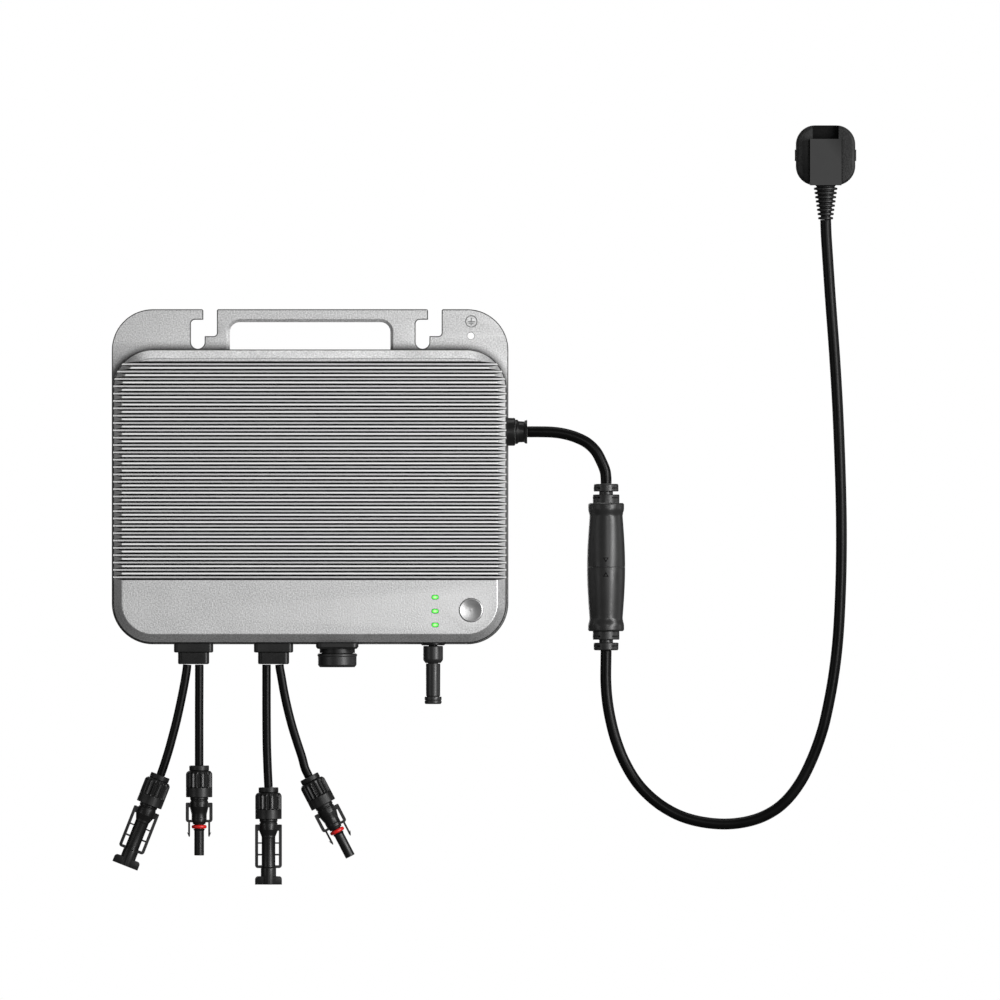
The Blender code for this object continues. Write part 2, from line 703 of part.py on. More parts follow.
def cut_fitting_holes(housing):
    """Holes in the walls for the outlets below and at the right."""
    width, depth, _ = PV_STUB
    for name, x in PV_ENTRIES.items():
        outline = rounded_outline(
            -width / 2 - GAP, width / 2 + GAP, -depth / 2 - GAP, depth / 2 + GAP, 0.0030, 3
        )
        rings = [at_level(outline, z) for z in (-0.1250, -0.1080)]
        cutter = add_cutter(f"cut_{name}", loft("pv_hole", rings), (x, FITTING_Y, 0.0))
        combine(housing, cutter, "DIFFERENCE")
    for name, x, radius in (
        ("port", PORT_X, PORT_STUB_RADIUS),
        ("antenna", ANTENNA_X, ANTENNA_BARREL_RADIUS),
    ):
        hole = rod(f"{name}_hole", radius + GAP, -0.1250, -0.1080, ROUND_STEPS)
        combine(housing, add_cutter(f"cut_{name}", hole, (x, FITTING_Y, 0.0)), "DIFFERENCE")
    hole = rod("gland_hole", GLAND_BARREL_RADIUS + GAP, 0.1280, 0.1450, ROUND_STEPS)
    cutter = add_cutter("cut_gland", hole, (0.0, FITTING_Y, GLAND_Z), (0.0, tau / 4, 0.0))
    combine(housing, cutter, "DIFFERENCE")


def make_gasket(finishes):
    """Sealing ring in the rebate of the housing's rear rim."""
    front = HOUSING_REAR - REBATE_DEPTH + GAP
    shape = bmesh.new()
    loops = []
    for inset, y in (
        (REBATE_WIDTH + GAP, HOUSING_REAR),
        (REBATE_WIDTH + GAP, front),
        (WALL, front),
        (WALL, HOUSING_REAR),
    ):
        loops.append([shape.verts.new(point) for point in at_depth(housing_outline(inset), y)])
    for ring, following in zip(loops, loops[1:] + loops[:1]):
        bridge(shape, ring, following)
    add_piece("housing_gasket", finish_mesh("housing_gasket", shape), finishes["gasket"])


def led_rings(grow, depths):
    """Rings of an oval bar along Y."""
    outline = rounded_outline(
        -LED_HALF_WIDTH - grow,
        LED_HALF_WIDTH + grow,
        -LED_HALF_HEIGHT - grow,
        LED_HALF_HEIGHT + grow,
        LED_HALF_HEIGHT + grow - 0.0001,
        4,
    )
    return [at_depth(outline, y) for y in depths]


def make_lenses(finishes):
    """Three light pipes through the panel."""
    for name, level in LED_LEVELS.items():
        rings = led_rings(0.0, (PANEL_FLOOR + 0.0030, HOUSING_FRONT - LED_PROUD))
        add_piece(name, loft(name, rings), finishes["lens"], (LED_X, 0.0, level))


def make_button(finishes):
    """Dished button with a skirt behind the panel and a stem, its spring and its switch."""
    x, z = BUTTON
    face = -HOUSING_FRONT + BUTTON_PROUD
    skirt_front = -PANEL_FLOOR - 0.0004
    skirt_rear = skirt_front - 0.0012
    profile = [
        (0.0, face - BUTTON_DISH),
        (0.0045, face - 0.7 * BUTTON_DISH),
        (0.0068, face - 0.3 * BUTTON_DISH),
        (0.0076, face),
        (BUTTON_RADIUS, face - 0.0004),
        (BUTTON_RADIUS, skirt_front),
        (BUTTON_SKIRT_RADIUS, skirt_front),
        (BUTTON_SKIRT_RADIUS, skirt_rear),
        (BUTTON_STEM_RADIUS, skirt_rear),
        (BUTTON_STEM_RADIUS, -BUTTON_STEM_END),
        (0.0, -BUTTON_STEM_END),
    ]
    turn = (tau / 4, 0.0, 0.0)
    add_piece("power_button", turned("power_button", profile), finishes["button"], (x, 0.0, z), turn)
    board = BOARD_FRONT - GAP
    half = SWITCH_HALF_WIDTH
    switch = blocks("tact_switch", [((-half, board - SWITCH_HEIGHT, -half), (half, board, half))])
    add_piece("tact_switch", switch, finishes["part"], (x, 0.0, z))
    wire = SPRING_WIRE_RADIUS
    spring_rear = board - SWITCH_HEIGHT - GAP - wire
    spring_front = -skirt_rear + GAP + wire
    count = SPRING_TURNS * SPRING_STEPS
    coil = []
    for k in range(count + 1):
        angle = tau * k / SPRING_STEPS
        y = spring_rear + (spring_front - spring_rear) * k / count
        coil.append((x + SPRING_RADIUS * cos(angle), y, z + SPRING_RADIUS * sin(angle)))
    add_tube("button_spring", coil, wire, finishes["steel"], 1)


def add_block(name, finish, x_range, z_range, height):
    """Block standing on the circuit board."""
    base = BOARD_FRONT - GAP
    mesh = blocks(name, [((x_range[0], base - height, z_range[0]), (x_range[1], base, z_range[1]))])
    return add_piece(name, mesh, finish)


def make_board(finishes):
    """Circuit board with its screened radio module beside the antenna."""
    low, high = BOARD_LEVELS
    outline = rounded_outline(-BOARD_HALF_WIDTH, BOARD_HALF_WIDTH, low, high, 0.0060, 2)
    rings = [at_depth(outline, y) for y in (BOARD_FRONT, BOARD_FRONT + BOARD_THICKNESS)]
    board = add_piece("circuit_board", loft("circuit_board", rings), finishes["board"])
    low = (0.0600, BOARD_FRONT - 0.0026, -0.0700)
    high = (0.0780, BOARD_FRONT + 0.0005, -0.0540)
    combine(board, add_cutter("add_radio_can", blocks("radio_can", [(low, high)])), "UNION")


def make_electronics(finishes):
    """The large parts on the board and the pad that carries their heat to the fins."""
    height = BOARD_FRONT - GAP - PART_TOP
    core = add_block("transformer_core", finishes["ferrite"], (-0.0620, -0.0180), (-0.0020, 0.0300), height)
    middle = -0.0400
    windows = [
        ((middle - 0.0140, -0.0260, -0.0100), (middle - 0.0060, -0.0158, 0.0400)),
        ((middle + 0.0060, -0.0260, -0.0100), (middle + 0.0140, -0.0158, 0.0400)),
    ]
    combine(core, add_cutter("cut_core", blocks("core_windows", windows)), "DIFFERENCE")
    shape = bmesh.new()
    loops = []
    inner = rounded_outline(middle - 0.0063, middle + 0.0063, -0.0023, 0.0303, 0.0010, 2)
    outer = rounded_outline(middle - 0.0137, middle + 0.0137, -0.0090, 0.0370, 0.0060, 2)
    for outline, y in ((inner, -0.0161), (outer, -0.0161), (outer, -0.0257), (inner, -0.0257)):
        loops.append([shape.verts.new(point) for point in at_depth(outline, y)])
    for ring, following in zip(loops, loops[1:] + loops[:1]):
        bridge(shape, ring, following)
    winding = finish_mesh("transformer_winding", shape)
    add_piece("transformer_winding", winding, finishes["copper"])
    base = -BOARD_FRONT + GAP
    turn = (tau / 4, 0.0, 0.0)
    ring = [(0.0140, base + 0.0025), (0.0140, base + 0.0105), (0.0125, base + 0.0120)]
    ring += [(0.0080, base + 0.0120), (0.0065, base + 0.0105), (0.0065, base + 0.0025)]
    ring += [(0.0080, base), (0.0125, base)]
    choke = turned("output_choke", ring)
    add_piece("output_choke", choke, finishes["copper"], (0.0300, 0.0, 0.0250), turn)
    for number, x in enumerate((-0.0980, -0.0780), 1):
        can = rod("capacitor", 0.0080, base, base + 0.0150)
        add_piece(f"bulk_capacitor_{number}", can, finishes["part"], (x, 0.0, -0.0450), turn)
    add_block("grid_relay", finishes["part"], (0.0750, 0.1040), (0.0200, 0.0350), 0.0150)
    low = (-0.0700, CAVITY_FLOOR + GAP, -0.0100)
    high = (0.0500, PART_TOP - GAP, 0.0450)
    add_piece("thermal_pad", blocks("thermal_pad", [(low, high)]), finishes["pad"])


def make_pv_entries(finishes):
    """Moulded strain reliefs, each passing two leads through the bottom wall."""
    top = HOUSING_BOTTOM - GAP
    for name, x in PV_ENTRIES.items():
        rings = []
        level = top + PV_STUB[2]
        for width, depth, height, radius in (
            (PV_STUB[0], PV_STUB[1], PV_STUB[2], 0.0027),
            (*PV_FLANGE, 0.0030),
            (*PV_BODY, 0.0030),
        ):
            outline = rounded_outline(-width / 2, width / 2, -depth / 2, depth / 2, radius, 3)
            rings.append(at_level(outline, level))
            level -= height
            rings.append(at_level(outline, level))
        add_piece(name, loft(name, rings), finishes["rubber"], (x, FITTING_Y, 0.0))


def make_comms_port(finishes):
    """Threaded port with a square flange, its seal and its screw cap."""
    top = HOUSING_BOTTOM - GAP
    neck = top - PORT_FLANGE_HEIGHT
    seal_top = CAP_BOTTOM + CAP_END_WALL + GAP + SEAL_THICKNESS
    thread_end = seal_top + GAP
    thread_top = CAP_TOP + GAP
    profile = [
        (0.0, top + FITTING_STUB),
        (PORT_STUB_RADIUS, top + FITTING_STUB),
        (PORT_STUB_RADIUS, top - 0.0010),
        (PORT_NECK_RADIUS, top - 0.0010),
        (PORT_NECK_RADIUS, thread_top),
        (PORT_THREAD_RADIUS, thread_top),
        (PORT_THREAD_RADIUS, thread_end),
        (PORT_BORE_RADIUS, thread_end),
        (PORT_BORE_RADIUS, neck),
        (0.0, neck),
    ]
    place = (PORT_X, FITTING_Y, 0.0)
    port = add_piece("comms_port", turned("comms_port", profile), finishes["black"], place)
    half = PORT_FLANGE / 2
    outline = rounded_outline(-half, half, -half, half, 0.0040, 3)
    flange = loft("port_flange", [at_level(outline, top), at_level(outline, neck)])
    combine(port, add_cutter("add_port_flange", flange, place), "UNION")
    seal = rod("comms_seal", PORT_THREAD_RADIUS - 0.0002, seal_top - SEAL_THICKNESS, seal_top)
    add_piece("comms_seal", seal, finishes["rubber"], place)
    profile = [
        (0.0, CAP_BOTTOM + CAP_END_WALL),
        (CAP_BORE_RADIUS, CAP_BOTTOM + CAP_END_WALL),
        (CAP_BORE_RADIUS, CAP_TOP),
        (CAP_RADIUS - 0.0006, CAP_TOP),
        (CAP_RADIUS, CAP_TOP - 0.0006),
        (CAP_RADIUS, CAP_BOTTOM + 0.0008),
        (CAP_RADIUS - 0.0008, CAP_BOTTOM),
        (0.0, CAP_BOTTOM),
    ]
    add_piece("comms_cap", turned("comms_cap", profile), finishes["black"], place)


def make_antenna(finishes):
    """Bulkhead connector, stub antenna and the nut that holds it."""
    top = HOUSING_BOTTOM - GAP
    place = (ANTENNA_X, FITTING_Y, 0.0)
    stub_end = ANTENNA_NUT_TOP - ANTENNA_ENGAGEMENT
    profile = [
        (0.0, top + FITTING_STUB),
        (ANTENNA_BARREL_RADIUS, top + FITTING_STUB),
        (ANTENNA_BARREL_RADIUS, top),
        (ANTENNA_DISC_RADIUS, top),
        (ANTENNA_DISC_RADIUS - 0.0010, ANTENNA_NUT_TOP + 0.0004),
        (ANTENNA_STUB_RADIUS, ANTENNA_NUT_TOP + 0.0004),
        (ANTENNA_STUB_RADIUS, stub_end),
        (0.0, stub_end),
    ]
    add_piece("antenna_base", turned("antenna_base", profile), finishes["black"], place)
    chamber_top = stub_end - GAP
    chamber_bottom = chamber_top - ANTENNA_FOOT_HEIGHT - 2 * GAP
    bore = ANTENNA_STUB_RADIUS + 0.00035
    neck_bore = ANTENNA_NECK_RADIUS + 0.00035
    chamber = ANTENNA_FOOT_RADIUS + 0.00035
    profile = [
        (bore, ANTENNA_NUT_TOP),
        (ANTENNA_NUT_RADIUS, ANTENNA_NUT_TOP),
        (ANTENNA_NUT_RADIUS, ANTENNA_NUT_BOTTOM + 0.0020),
        (ANTENNA_ROD_RADIUS + 0.0002, ANTENNA_NUT_BOTTOM),
        (neck_bore, ANTENNA_NUT_BOTTOM),
        (neck_bore, chamber_bottom),
        (chamber, chamber_bottom),
        (chamber, chamber_top),
        (bore, chamber_top),
    ]
    add_piece("antenna_nut", turned("antenna_nut", profile), finishes["black"], place)
    shoulder = ANTENNA_NUT_BOTTOM - 0.00035
    profile = [
        (0.0, chamber_top - GAP),
        (ANTENNA_FOOT_RADIUS, chamber_top - GAP),
        (ANTENNA_FOOT_RADIUS, chamber_bottom + GAP),
        (ANTENNA_NECK_RADIUS, chamber_bottom + GAP),
        (ANTENNA_NECK_RADIUS, shoulder),
        (ANTENNA_ROD_RADIUS, shoulder),
        (ANTENNA_ROD_RADIUS, ANTENNA_TIP_TOP),
        (ANTENNA_TIP_RADIUS, ANTENNA_TIP_TOP - 0.0008),
        (ANTENNA_TIP_RADIUS, ANTENNA_END + 0.0008),
        (ANTENNA_TIP_RADIUS - 0.0008, ANTENNA_END),
        (0.0, ANTENNA_END),
    ]
    add_piece("antenna_whip", turned("antenna_whip", profile), finishes["rubber"], place)


def make_gland(finishes):
    """Cable gland in the right wall: a flanged body and its clamping nut."""
    place = (0.0, FITTING_Y, GLAND_Z)
    turn = (0.0, tau / 4, 0.0)
    flange = HOUSING_HALF_WIDTH + GAP
    nut_start = flange + 0.0060 + GAP
    profile = [
        (0.0, flange - 0.0110),
        (GLAND_BARREL_RADIUS, flange - 0.0110),
        (GLAND_BARREL_RADIUS, flange),
        (0.00985, flange),
        (0.00985, flange + 0.0054),
        (0.0093, flange + 0.0060),
        (0.0, flange + 0.0060),
    ]
    add_piece("gland_body", turned("gland_body", profile), finishes["black"], place, turn)
    profile = [
        (0.0, nut_start),
        (0.0086, nut_start),
        (0.0086, nut_start + 0.0016),
        (GLAND_BARREL_RADIUS, nut_start + 0.0022),
        (GLAND_BARREL_RADIUS, GLAND_END - 0.0018),
        (0.0084, GLAND_END - 0.0014),
        (0.0084, GLAND_END),
        (0.0, GLAND_END),
    ]
    add_piece("gland_nut", turned("gland_nut", profile), finishes["black"], place, turn)


def coupler_shell_profile():
    """Outside of a coupler half, from its collar to just short of the seam."""
    length = COUPLER_TOP - COUPLER_SEAM
    swell = COUPLER_SEAM_RADIUS - COUPLER_WAIST_RADIUS
    profile = [
        (COUPLER_COLLAR_RADIUS - 0.0010, 0.0),
        (COUPLER_COLLAR_RADIUS, -0.0010),
        (COUPLER_COLLAR_RADIUS, -COUPLER_COLLAR),
        (COUPLER_WAIST_RADIUS, -COUPLER_COLLAR - 0.0018),
    ]
    start = COUPLER_COLLAR + 0.0018
    for k in range(1, 4):
        share = k / 3
        z = -start - (length - start - GAP / 2) * share
        profile.append((COUPLER_WAIST_RADIUS + swell * sin(share * tau / 4), z))
    return profile


def pin_places():
    """Directions of the three contacts around the coupler's axis."""
    angles = [tau / 12, tau * 5 / 12, tau * 3 / 4]
    return [(PIN_CIRCLE * cos(a), PIN_CIRCLE * sin(a)) for a in angles]


def relief_profile():
    """Outside of a coupler's strain relief, from its cord end down to the shell."""
    return [
        (0.0, COUPLER_RELIEF),
        (0.0082, COUPLER_RELIEF),
        (0.0087, COUPLER_RELIEF - 0.0005),
        (0.0087, COUPLER_RELIEF - 0.0053),
        (0.0050, COUPLER_RELIEF - 0.0053),
        (0.0050, COUPLER_RELIEF - 0.0076),
        (0.0094, COUPLER_RELIEF - 0.0076),
        (0.0094, GAP),
        (0.0, GAP),
    ]


def make_coupler(finishes):
    """Inline mains coupler: a socket shell with three pins and a spigot shell."""
    outside = coupler_shell_profile()
    spigot_depth = COUPLER_SPIGOT_LENGTH + 0.0010
    length = COUPLER_TOP - COUPLER_SEAM
    mouth = -length + GAP / 2
    floor = mouth + spigot_depth
    top_place = (COUPLER_X, FITTING_Y, COUPLER_TOP)
    profile = [(0.0, 0.0)] + outside
    profile += [(COUPLER_BORE_RADIUS, mouth), (COUPLER_BORE_RADIUS, floor), (0.0, floor)]
    shell = turned("coupler_socket_shell", profile)
    add_piece("coupler_socket_shell", shell, finishes["black"], top_place)
    relief = turned("coupler_relief_upper", relief_profile(), SMALL_STEPS)
    add_piece("coupler_relief_upper", relief, finishes["rubber"], top_place)
    names = ("coupler_pin_line", "coupler_pin_neutral", "coupler_pin_earth")
    for name, (x, y) in zip(names, pin_places()):
        pin = rod(name, PIN_RADIUS, floor - GAP - PIN_LENGTH, floor - GAP)
        add_piece(name, pin, finishes["contact"], (COUPLER_X + x, FITTING_Y + y, COUPLER_TOP))
    bottom_place = (COUPLER_X, FITTING_Y, COUPLER_BOTTOM)
    flip = (tau / 2, 0.0, 0.0)
    tip = mouth - GAP - COUPLER_SPIGOT_LENGTH
    profile = [(0.0, 0.0)] + outside
    profile += [(COUPLER_SPIGOT_RADIUS, mouth), (COUPLER_SPIGOT_RADIUS, tip), (0.0, tip)]
    shell = turned("coupler_spigot_shell", profile)
    spigot = add_piece("coupler_spigot_shell", shell, finishes["black"], bottom_place, flip)
    spigot_top = COUPLER_BOTTOM - tip
    for name, (x, y) in zip(names, pin_places()):
        hole = rod("pin_hole", PIN_HOLE_RADIUS, spigot_top - 0.0150, spigot_top + 0.0010)
        cutter = add_cutter(f"cut_{name}", hole, (COUPLER_X + x, FITTING_Y + y, 0.0))
        combine(spigot, cutter, "DIFFERENCE")
    relief = turned("coupler_relief_lower", relief_profile(), SMALL_STEPS)
    add_piece("coupler_relief_lower", relief, finishes["rubber"], bottom_place, flip)


def make_mains_plug(finishes):
    """Angled two-pin mains plug with side earth contacts and a ribbed strain relief."""
    half_width = PLUG_HALF_WIDTH
    half_height = PLUG_HALF_HEIGHT
    bevel = 0.0020
    rings = []
    for y, inset in (
        (PLUG_FLANGE_REAR, 0.0),
        (PLUG_FLANGE_FRONT + bevel, 0.0),
        (PLUG_FLANGE_FRONT, bevel),
    ):
        outline = rounded_outline(
            inset - half_width,
            half_width - inset,
            inset - half_height,
            half_height - inset,
            PLUG_CORNER - inset,
            4,
        )
        rings.append(at_depth(outline, y))
    place = (PLUG_X, 0.0, PLUG_Z)
    body = add_piece("mains_plug_body", loft("mains_plug_body", rings), finishes["black"], place)
    nose = rod("plug_nose", PLUG_NOSE_RADIUS, -PLUG_NOSE_FACE, -PLUG_FLANGE_REAR + 0.0010)
    combine(body, add_cutter("add_nose", nose, place, (tau / 4, 0.0, 0.0)), "UNION")
    grip_half = PLUG_GRIP_HALF_WIDTH
    low = (-grip_half, PLUG_GRIP_FRONT, -half_height)
    high = (grip_half, PLUG_FLANGE_FRONT + 0.0030, PLUG_GRIP_TOP - PLUG_Z)
    combine(body, add_cutter("add_grip", blocks("plug_grip", [(low, high)]), place), "UNION")
    for side, name in ((-1, "plug_pin_left"), (1, "plug_pin_right")):
        face = -PLUG_NOSE_FACE - GAP
        pin_end = face - PLUG_PIN_LENGTH
        profile = [
            (0.0, face),
            (PLUG_PIN_RADIUS, face),
            (PLUG_PIN_RADIUS, pin_end + 0.0010),
            (PLUG_PIN_RADIUS - 0.0010, pin_end),
            (0.0, pin_end),
        ]
        pin_place = (PLUG_X + side * PLUG_PIN_SPREAD, 0.0, PLUG_Z)
        pin = turned(name, profile, FIT_STEPS)
        add_piece(name, pin, finishes["contact"], pin_place, (tau / 4, 0.0, 0.0))
    for side, name in ((-1, "plug_earth_lower"), (1, "plug_earth_upper")):
        inner = PLUG_NOSE_RADIUS - 0.0012
        channel = ((-0.0032, PLUG_NOSE_FACE - 0.0160, inner), (0.0032, 0.0, 0.0300))
        low = (-0.0029, PLUG_NOSE_FACE - 0.0157, inner + GAP)
        high = (0.0029, PLUG_NOSE_FACE, inner + 0.0013)
        turn = (0.0, 0.0 if side > 0 else tau / 2, 0.0)
        combine(body, add_cutter(f"cut_{name}", blocks("channel", [channel]), place, turn), "DIFFERENCE")
        add_piece(name, blocks(name, [(low, high)]), finishes["contact"], place, turn)
    profile = [(0.0, PLUG_RELIEF_TOP)]
    for k in range(PLUG_RELIEF_RIBS):
        share = k / (PLUG_RELIEF_RIBS - 1)
        pitch = (PLUG_RELIEF_TOP - PLUG_RELIEF_BOTTOM) / PLUG_RELIEF_RIBS
        radius = 0.0085 - 0.0030 * share
        level = PLUG_RELIEF_TOP - pitch * k
        profile += [(radius, level - 0.3 * pitch), (radius - 0.0015, level - 0.9 * pitch)]
    profile.append((0.0, PLUG_RELIEF_BOTTOM))
    relief = turned("mains_plug_relief", profile, SMALL_STEPS)
    add_piece("mains_plug_relief", relief, finishes["rubber"], (PLUG_X, PLUG_RELIEF_Y, 0.0))


def nut_ring(radius, level, rib_depth=0.0):
    """Ring of a nut, with every other point moved in where the nut is ribbed."""
    ring = []
    for k in range(2 * NUT_RIBS):
        angle = tau * k / (2 * NUT_RIBS)
        reach = radius - (rib_depth if k % 2 else 0.0)
        ring.append((reach * cos(angle), reach * sin(angle), -level))
    return ring


def make_connector_nut(name, finishes, parent):
    """Ribbed nut that closes a connector around its lead."""
    rings = [
        nut_ring(NUT_COLLAR_RADIUS, 0.0),
        nut_ring(NUT_COLLAR_RADIUS, NUT_COLLAR),
        nut_ring(NUT_RADIUS - 0.0014, NUT_COLLAR + 0.0002),
        nut_ring(NUT_RADIUS, NUT_COLLAR + 0.0018, NUT_RIB_DEPTH),
        nut_ring(NUT_RADIUS, 0.0155, NUT_RIB_DEPTH),
        nut_ring(NUT_RADIUS, 0.0160),
        nut_ring(NUT_RADIUS, NUT_LENGTH),
        nut_ring(THREAD_RADIUS + 0.0004, NUT_LENGTH),
        nut_ring(THREAD_RADIUS + 0.0004, THREAD_TOP - GAP),
    ]
    add_piece(f"{name}_nut", loft(f"{name}_nut", rings), finishes["black"], parent=parent)


def both_sides(boxes):
    """Boxes given for the +X side, repeated on the -X side."""
    mirrored = [((-high[0], low[1], low[2]), (-low[0], high[1], high[2])) for low, high in boxes]
    return boxes + mirrored


def add_wings(body, wing_end, parent):
    """Two flat wings beside a connector's tube, from its neck down to wing_end."""
    low = (WING_INNER, -WING_HALF_DEPTH, -wing_end)
    high = (WING_HALF_WIDTH, WING_HALF_DEPTH, -NECK_END + 0.0001)
    wings = blocks("wings", both_sides([(low, high)]))
    combine(body, add_cutter(f"add_wings_{body.name}", wings, parent=parent), "UNION")


def side_prisms(name, outlines, half_depth):
    """Outlines in the XZ plane, extruded along Y on both sides of the axis."""
    shape = bmesh.new()
    for outline in outlines:
        for side in (-1, 1):
            rings = []
            for y in (-half_depth, half_depth):
                rings.append([shape.verts.new((side * x, y, z)) for x, z in outline])
            bridge(shape, rings[0], rings[1])
            shape.faces.new(rings[0])
            shape.faces.new(rings[1])
    return finish_mesh(name, shape)


def wing_windows(body, windows, widths, cone, parent):
    """Windows through both wings, the first of them beside the body's cone."""
    inner, outer = widths
    outlines = []
    for number, (top, bottom) in enumerate(windows):
        outline = [(outer, -top), (outer, -bottom), (inner, -bottom)]
        if number == 0:
            outline += [(inner, -cone[1]), (NECK_RADIUS + 0.0001, -top)]
        else:
            outline.append((inner, -top))
        outlines.append(outline)
    cutter = side_prisms("windows", outlines, 0.010)
    combine(body, add_cutter(f"cut_windows_{body.name}", cutter, parent=parent), "DIFFERENCE")


def make_socket_connector(name, finishes, parent):
    """Connector body with a deep round socket, two windowed wings and a flat end block."""
    profile = [
        (0.0, -THREAD_TOP),
        (THREAD_RADIUS, -THREAD_TOP),
        (THREAD_RADIUS, -NUT_LENGTH - GAP),
        (NECK_RADIUS, -NUT_LENGTH - GAP),
        (NECK_RADIUS, -SOCKET_CONE[0]),
        (SOCKET_TUBE_RADIUS, -SOCKET_CONE[1]),
        (SOCKET_TUBE_RADIUS, -SOCKET_WING_END + 0.0010),
        (SOCKET_TAIL_RADIUS, -SOCKET_WING_END),
        (SOCKET_TAIL_RADIUS, -SOCKET_END),
        (0.0, -SOCKET_END),
    ]
    mesh = turned(f"{name}_body", profile, FIT_STEPS)
    body = add_piece(f"{name}_body", mesh, finishes["black"], parent=parent)
    add_wings(body, SOCKET_WING_END, parent)
    wing_windows(body, SOCKET_WINDOWS, SOCKET_WINDOW_WIDTHS, SOCKET_CONE, parent)
    half = WING_HALF_WIDTH
    shoulder = 0.0020
    outline = [(half, -SOCKET_END), (half, -SOCKET_END_BLOCK - shoulder)]
    outline += [(half - 0.3 * shoulder, -SOCKET_END_BLOCK - 0.3 * shoulder)]
    outline += [(half - shoulder, -SOCKET_END_BLOCK)]
    outline += [(shoulder - half, -SOCKET_END_BLOCK)]
    outline += [(0.3 * shoulder - half, -SOCKET_END_BLOCK - 0.3 * shoulder)]
    outline += [(-half, -SOCKET_END_BLOCK - shoulder), (-half, -SOCKET_END)]
    depth = SOCKET_END_HALF_DEPTH
    block = loft("end_block", [at_depth(outline, y) for y in (-depth, depth)])
    combine(body, add_cutter(f"add_end_block_{name}", block, parent=parent), "UNION")
    bore = rod("bore", SOCKET_BORE_RADIUS, -SOCKET_END - 0.0010, -SOCKET_BORE_END, FIT_STEPS)
    combine(body, add_cutter(f"cut_bore_{name}", bore, parent=parent), "DIFFERENCE")


def make_plug_connector(name, finishes, parent):
    """Connector body with a slim barrel, windowed shoulders, latch arms and a seal ring."""
    seal_top, seal_bottom = SEAL_RING_LEVELS
    profile = [
        (0.0, -THREAD_TOP),
        (THREAD_RADIUS, -THREAD_TOP),
        (THREAD_RADIUS, -NUT_LENGTH - GAP),
        (NECK_RADIUS, -NUT_LENGTH - GAP),
        (NECK_RADIUS, -PLUG_CONE[0]),
        (PLUG_TUBE_RADIUS, -PLUG_CONE[1]),
        (PLUG_TUBE_RADIUS, -seal_top + 2 * GAP),
        (PLUG_BARREL_RADIUS, -seal_top + GAP),
        (PLUG_BARREL_RADIUS, -seal_bottom - GAP),
        (SEAL_LIP_RADIUS, -seal_bottom - GAP),
        (SEAL_LIP_RADIUS, -seal_bottom - 0.0009),
        (PLUG_BARREL_RADIUS, -seal_bottom - 0.0012),
        (PLUG_BARREL_RADIUS, -PLUG_END),
        (PLUG_BORE_RADIUS, -PLUG_END),
        (PLUG_BORE_RADIUS, -PLUG_BORE_END),
        (0.0, -PLUG_BORE_END),
    ]
    mesh = turned(f"{name}_body", profile, FIT_STEPS)
    body = add_piece(f"{name}_body", mesh, finishes["black"], parent=parent)
    add_wings(body, PLUG_WING_END, parent)
    wing_windows(body, [PLUG_WINDOW], PLUG_WINDOW_WIDTHS, PLUG_CONE, parent)
    root = -PLUG_WING_END + 0.0010
    barb = LATCH_OUTER + LATCH_BARB
    outline = [
        (LATCH_INNER, root),
        (LATCH_INNER, -LATCH_END),
        (LATCH_INNER + 0.0004, -LATCH_END),
        (barb, -LATCH_END + LATCH_BARB_LENGTH),
        (LATCH_OUTER, -LATCH_END + LATCH_BARB_LENGTH),
        (LATCH_OUTER, root),
    ]
    arms = side_prisms("latches", [outline], LATCH_HALF_DEPTH)
    combine(body, add_cutter(f"add_latches_{name}", arms, parent=parent), "UNION")
    edge = 0.0006  # bevel on the seal ring's outer edges
    profile = [
        (SEAL_RING_INNER, -seal_top),
        (SEAL_RING_OUTER - edge, -seal_top),
        (SEAL_RING_OUTER, -seal_top - edge),
        (SEAL_RING_OUTER, -seal_bottom + edge),
        (SEAL_RING_OUTER - edge, -seal_bottom),
        (SEAL_RING_INNER, -seal_bottom),
    ]
    ring = turned(f"{name}_seal", profile, SMALL_STEPS)
    add_piece(f"{name}_seal", ring, finishes["red_seal"], parent=parent)


def make_connectors(finishes):
    """A connector on the end of each photovoltaic lead."""
    for name, (lead, tilt) in CONNECTORS.items():
        end = Vector(PV_LEAD_ROUTES[lead][-1])
        along = Vector((-sin(radians(tilt)), 0.0, -cos(radians(tilt))))
        carrier = bpy.data.objects.new(f"{name}_axis", None)
        carrier.location = end + along * GAP
        carrier.rotation_euler = (0.0, radians(tilt), 0.0)
        bpy.context.scene.collection.objects.link(carrier)
        make_connector_nut(name, finishes, carrier)
        if name.startswith("pv_socket"):
            make_socket_connector(name, finishes, carrier)
        else:
            make_plug_connector(name, finishes, carrier)


def make_cords(finishes):
    """The mains tail, the mains lead and the four photovoltaic leads."""
    spacing = 2 * MAINS_RADIUS * CORD_SPACING
    for name, route in (("mains_tail", MAINS_TAIL_ROUTE), ("mains_lead", MAINS_LEAD_ROUTE)):
        add_tube(name, smooth_route(route, spacing), MAINS_RADIUS, finishes["jacket"])
    spacing = 2 * PV_LEAD_RADIUS * CORD_SPACING
    for name, route in PV_LEAD_ROUTES.items():
        add_tube(name, smooth_route(route, spacing), PV_LEAD_RADIUS, finishes["jacket"])


def build():
    """Build the whole inverter."""
    clear_scene()
    finishes = make_materials()
    make_back_plate(finishes)
    make_housing(finishes)
    make_gasket(finishes)
    make_screws(finishes)
    make_lenses(finishes)
    make_button(finishes)
    make_board(finishes)
    make_electronics(finishes)
    make_pv_entries(finishes)
    make_comms_port(finishes)
    make_antenna(finishes)
    make_gland(finishes)
    make_coupler(finishes)
    make_mains_plug(finishes)
    make_cords(finishes)
    make_connectors(finishes)


build()
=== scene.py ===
"""Looks of the wall-hung micro inverter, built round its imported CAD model.

Everything is in metres in the CAD model's frame: the wall is the plane y = 0, the
finned front faces -Y, and the origin is the centre of the plate's rear face.
"""

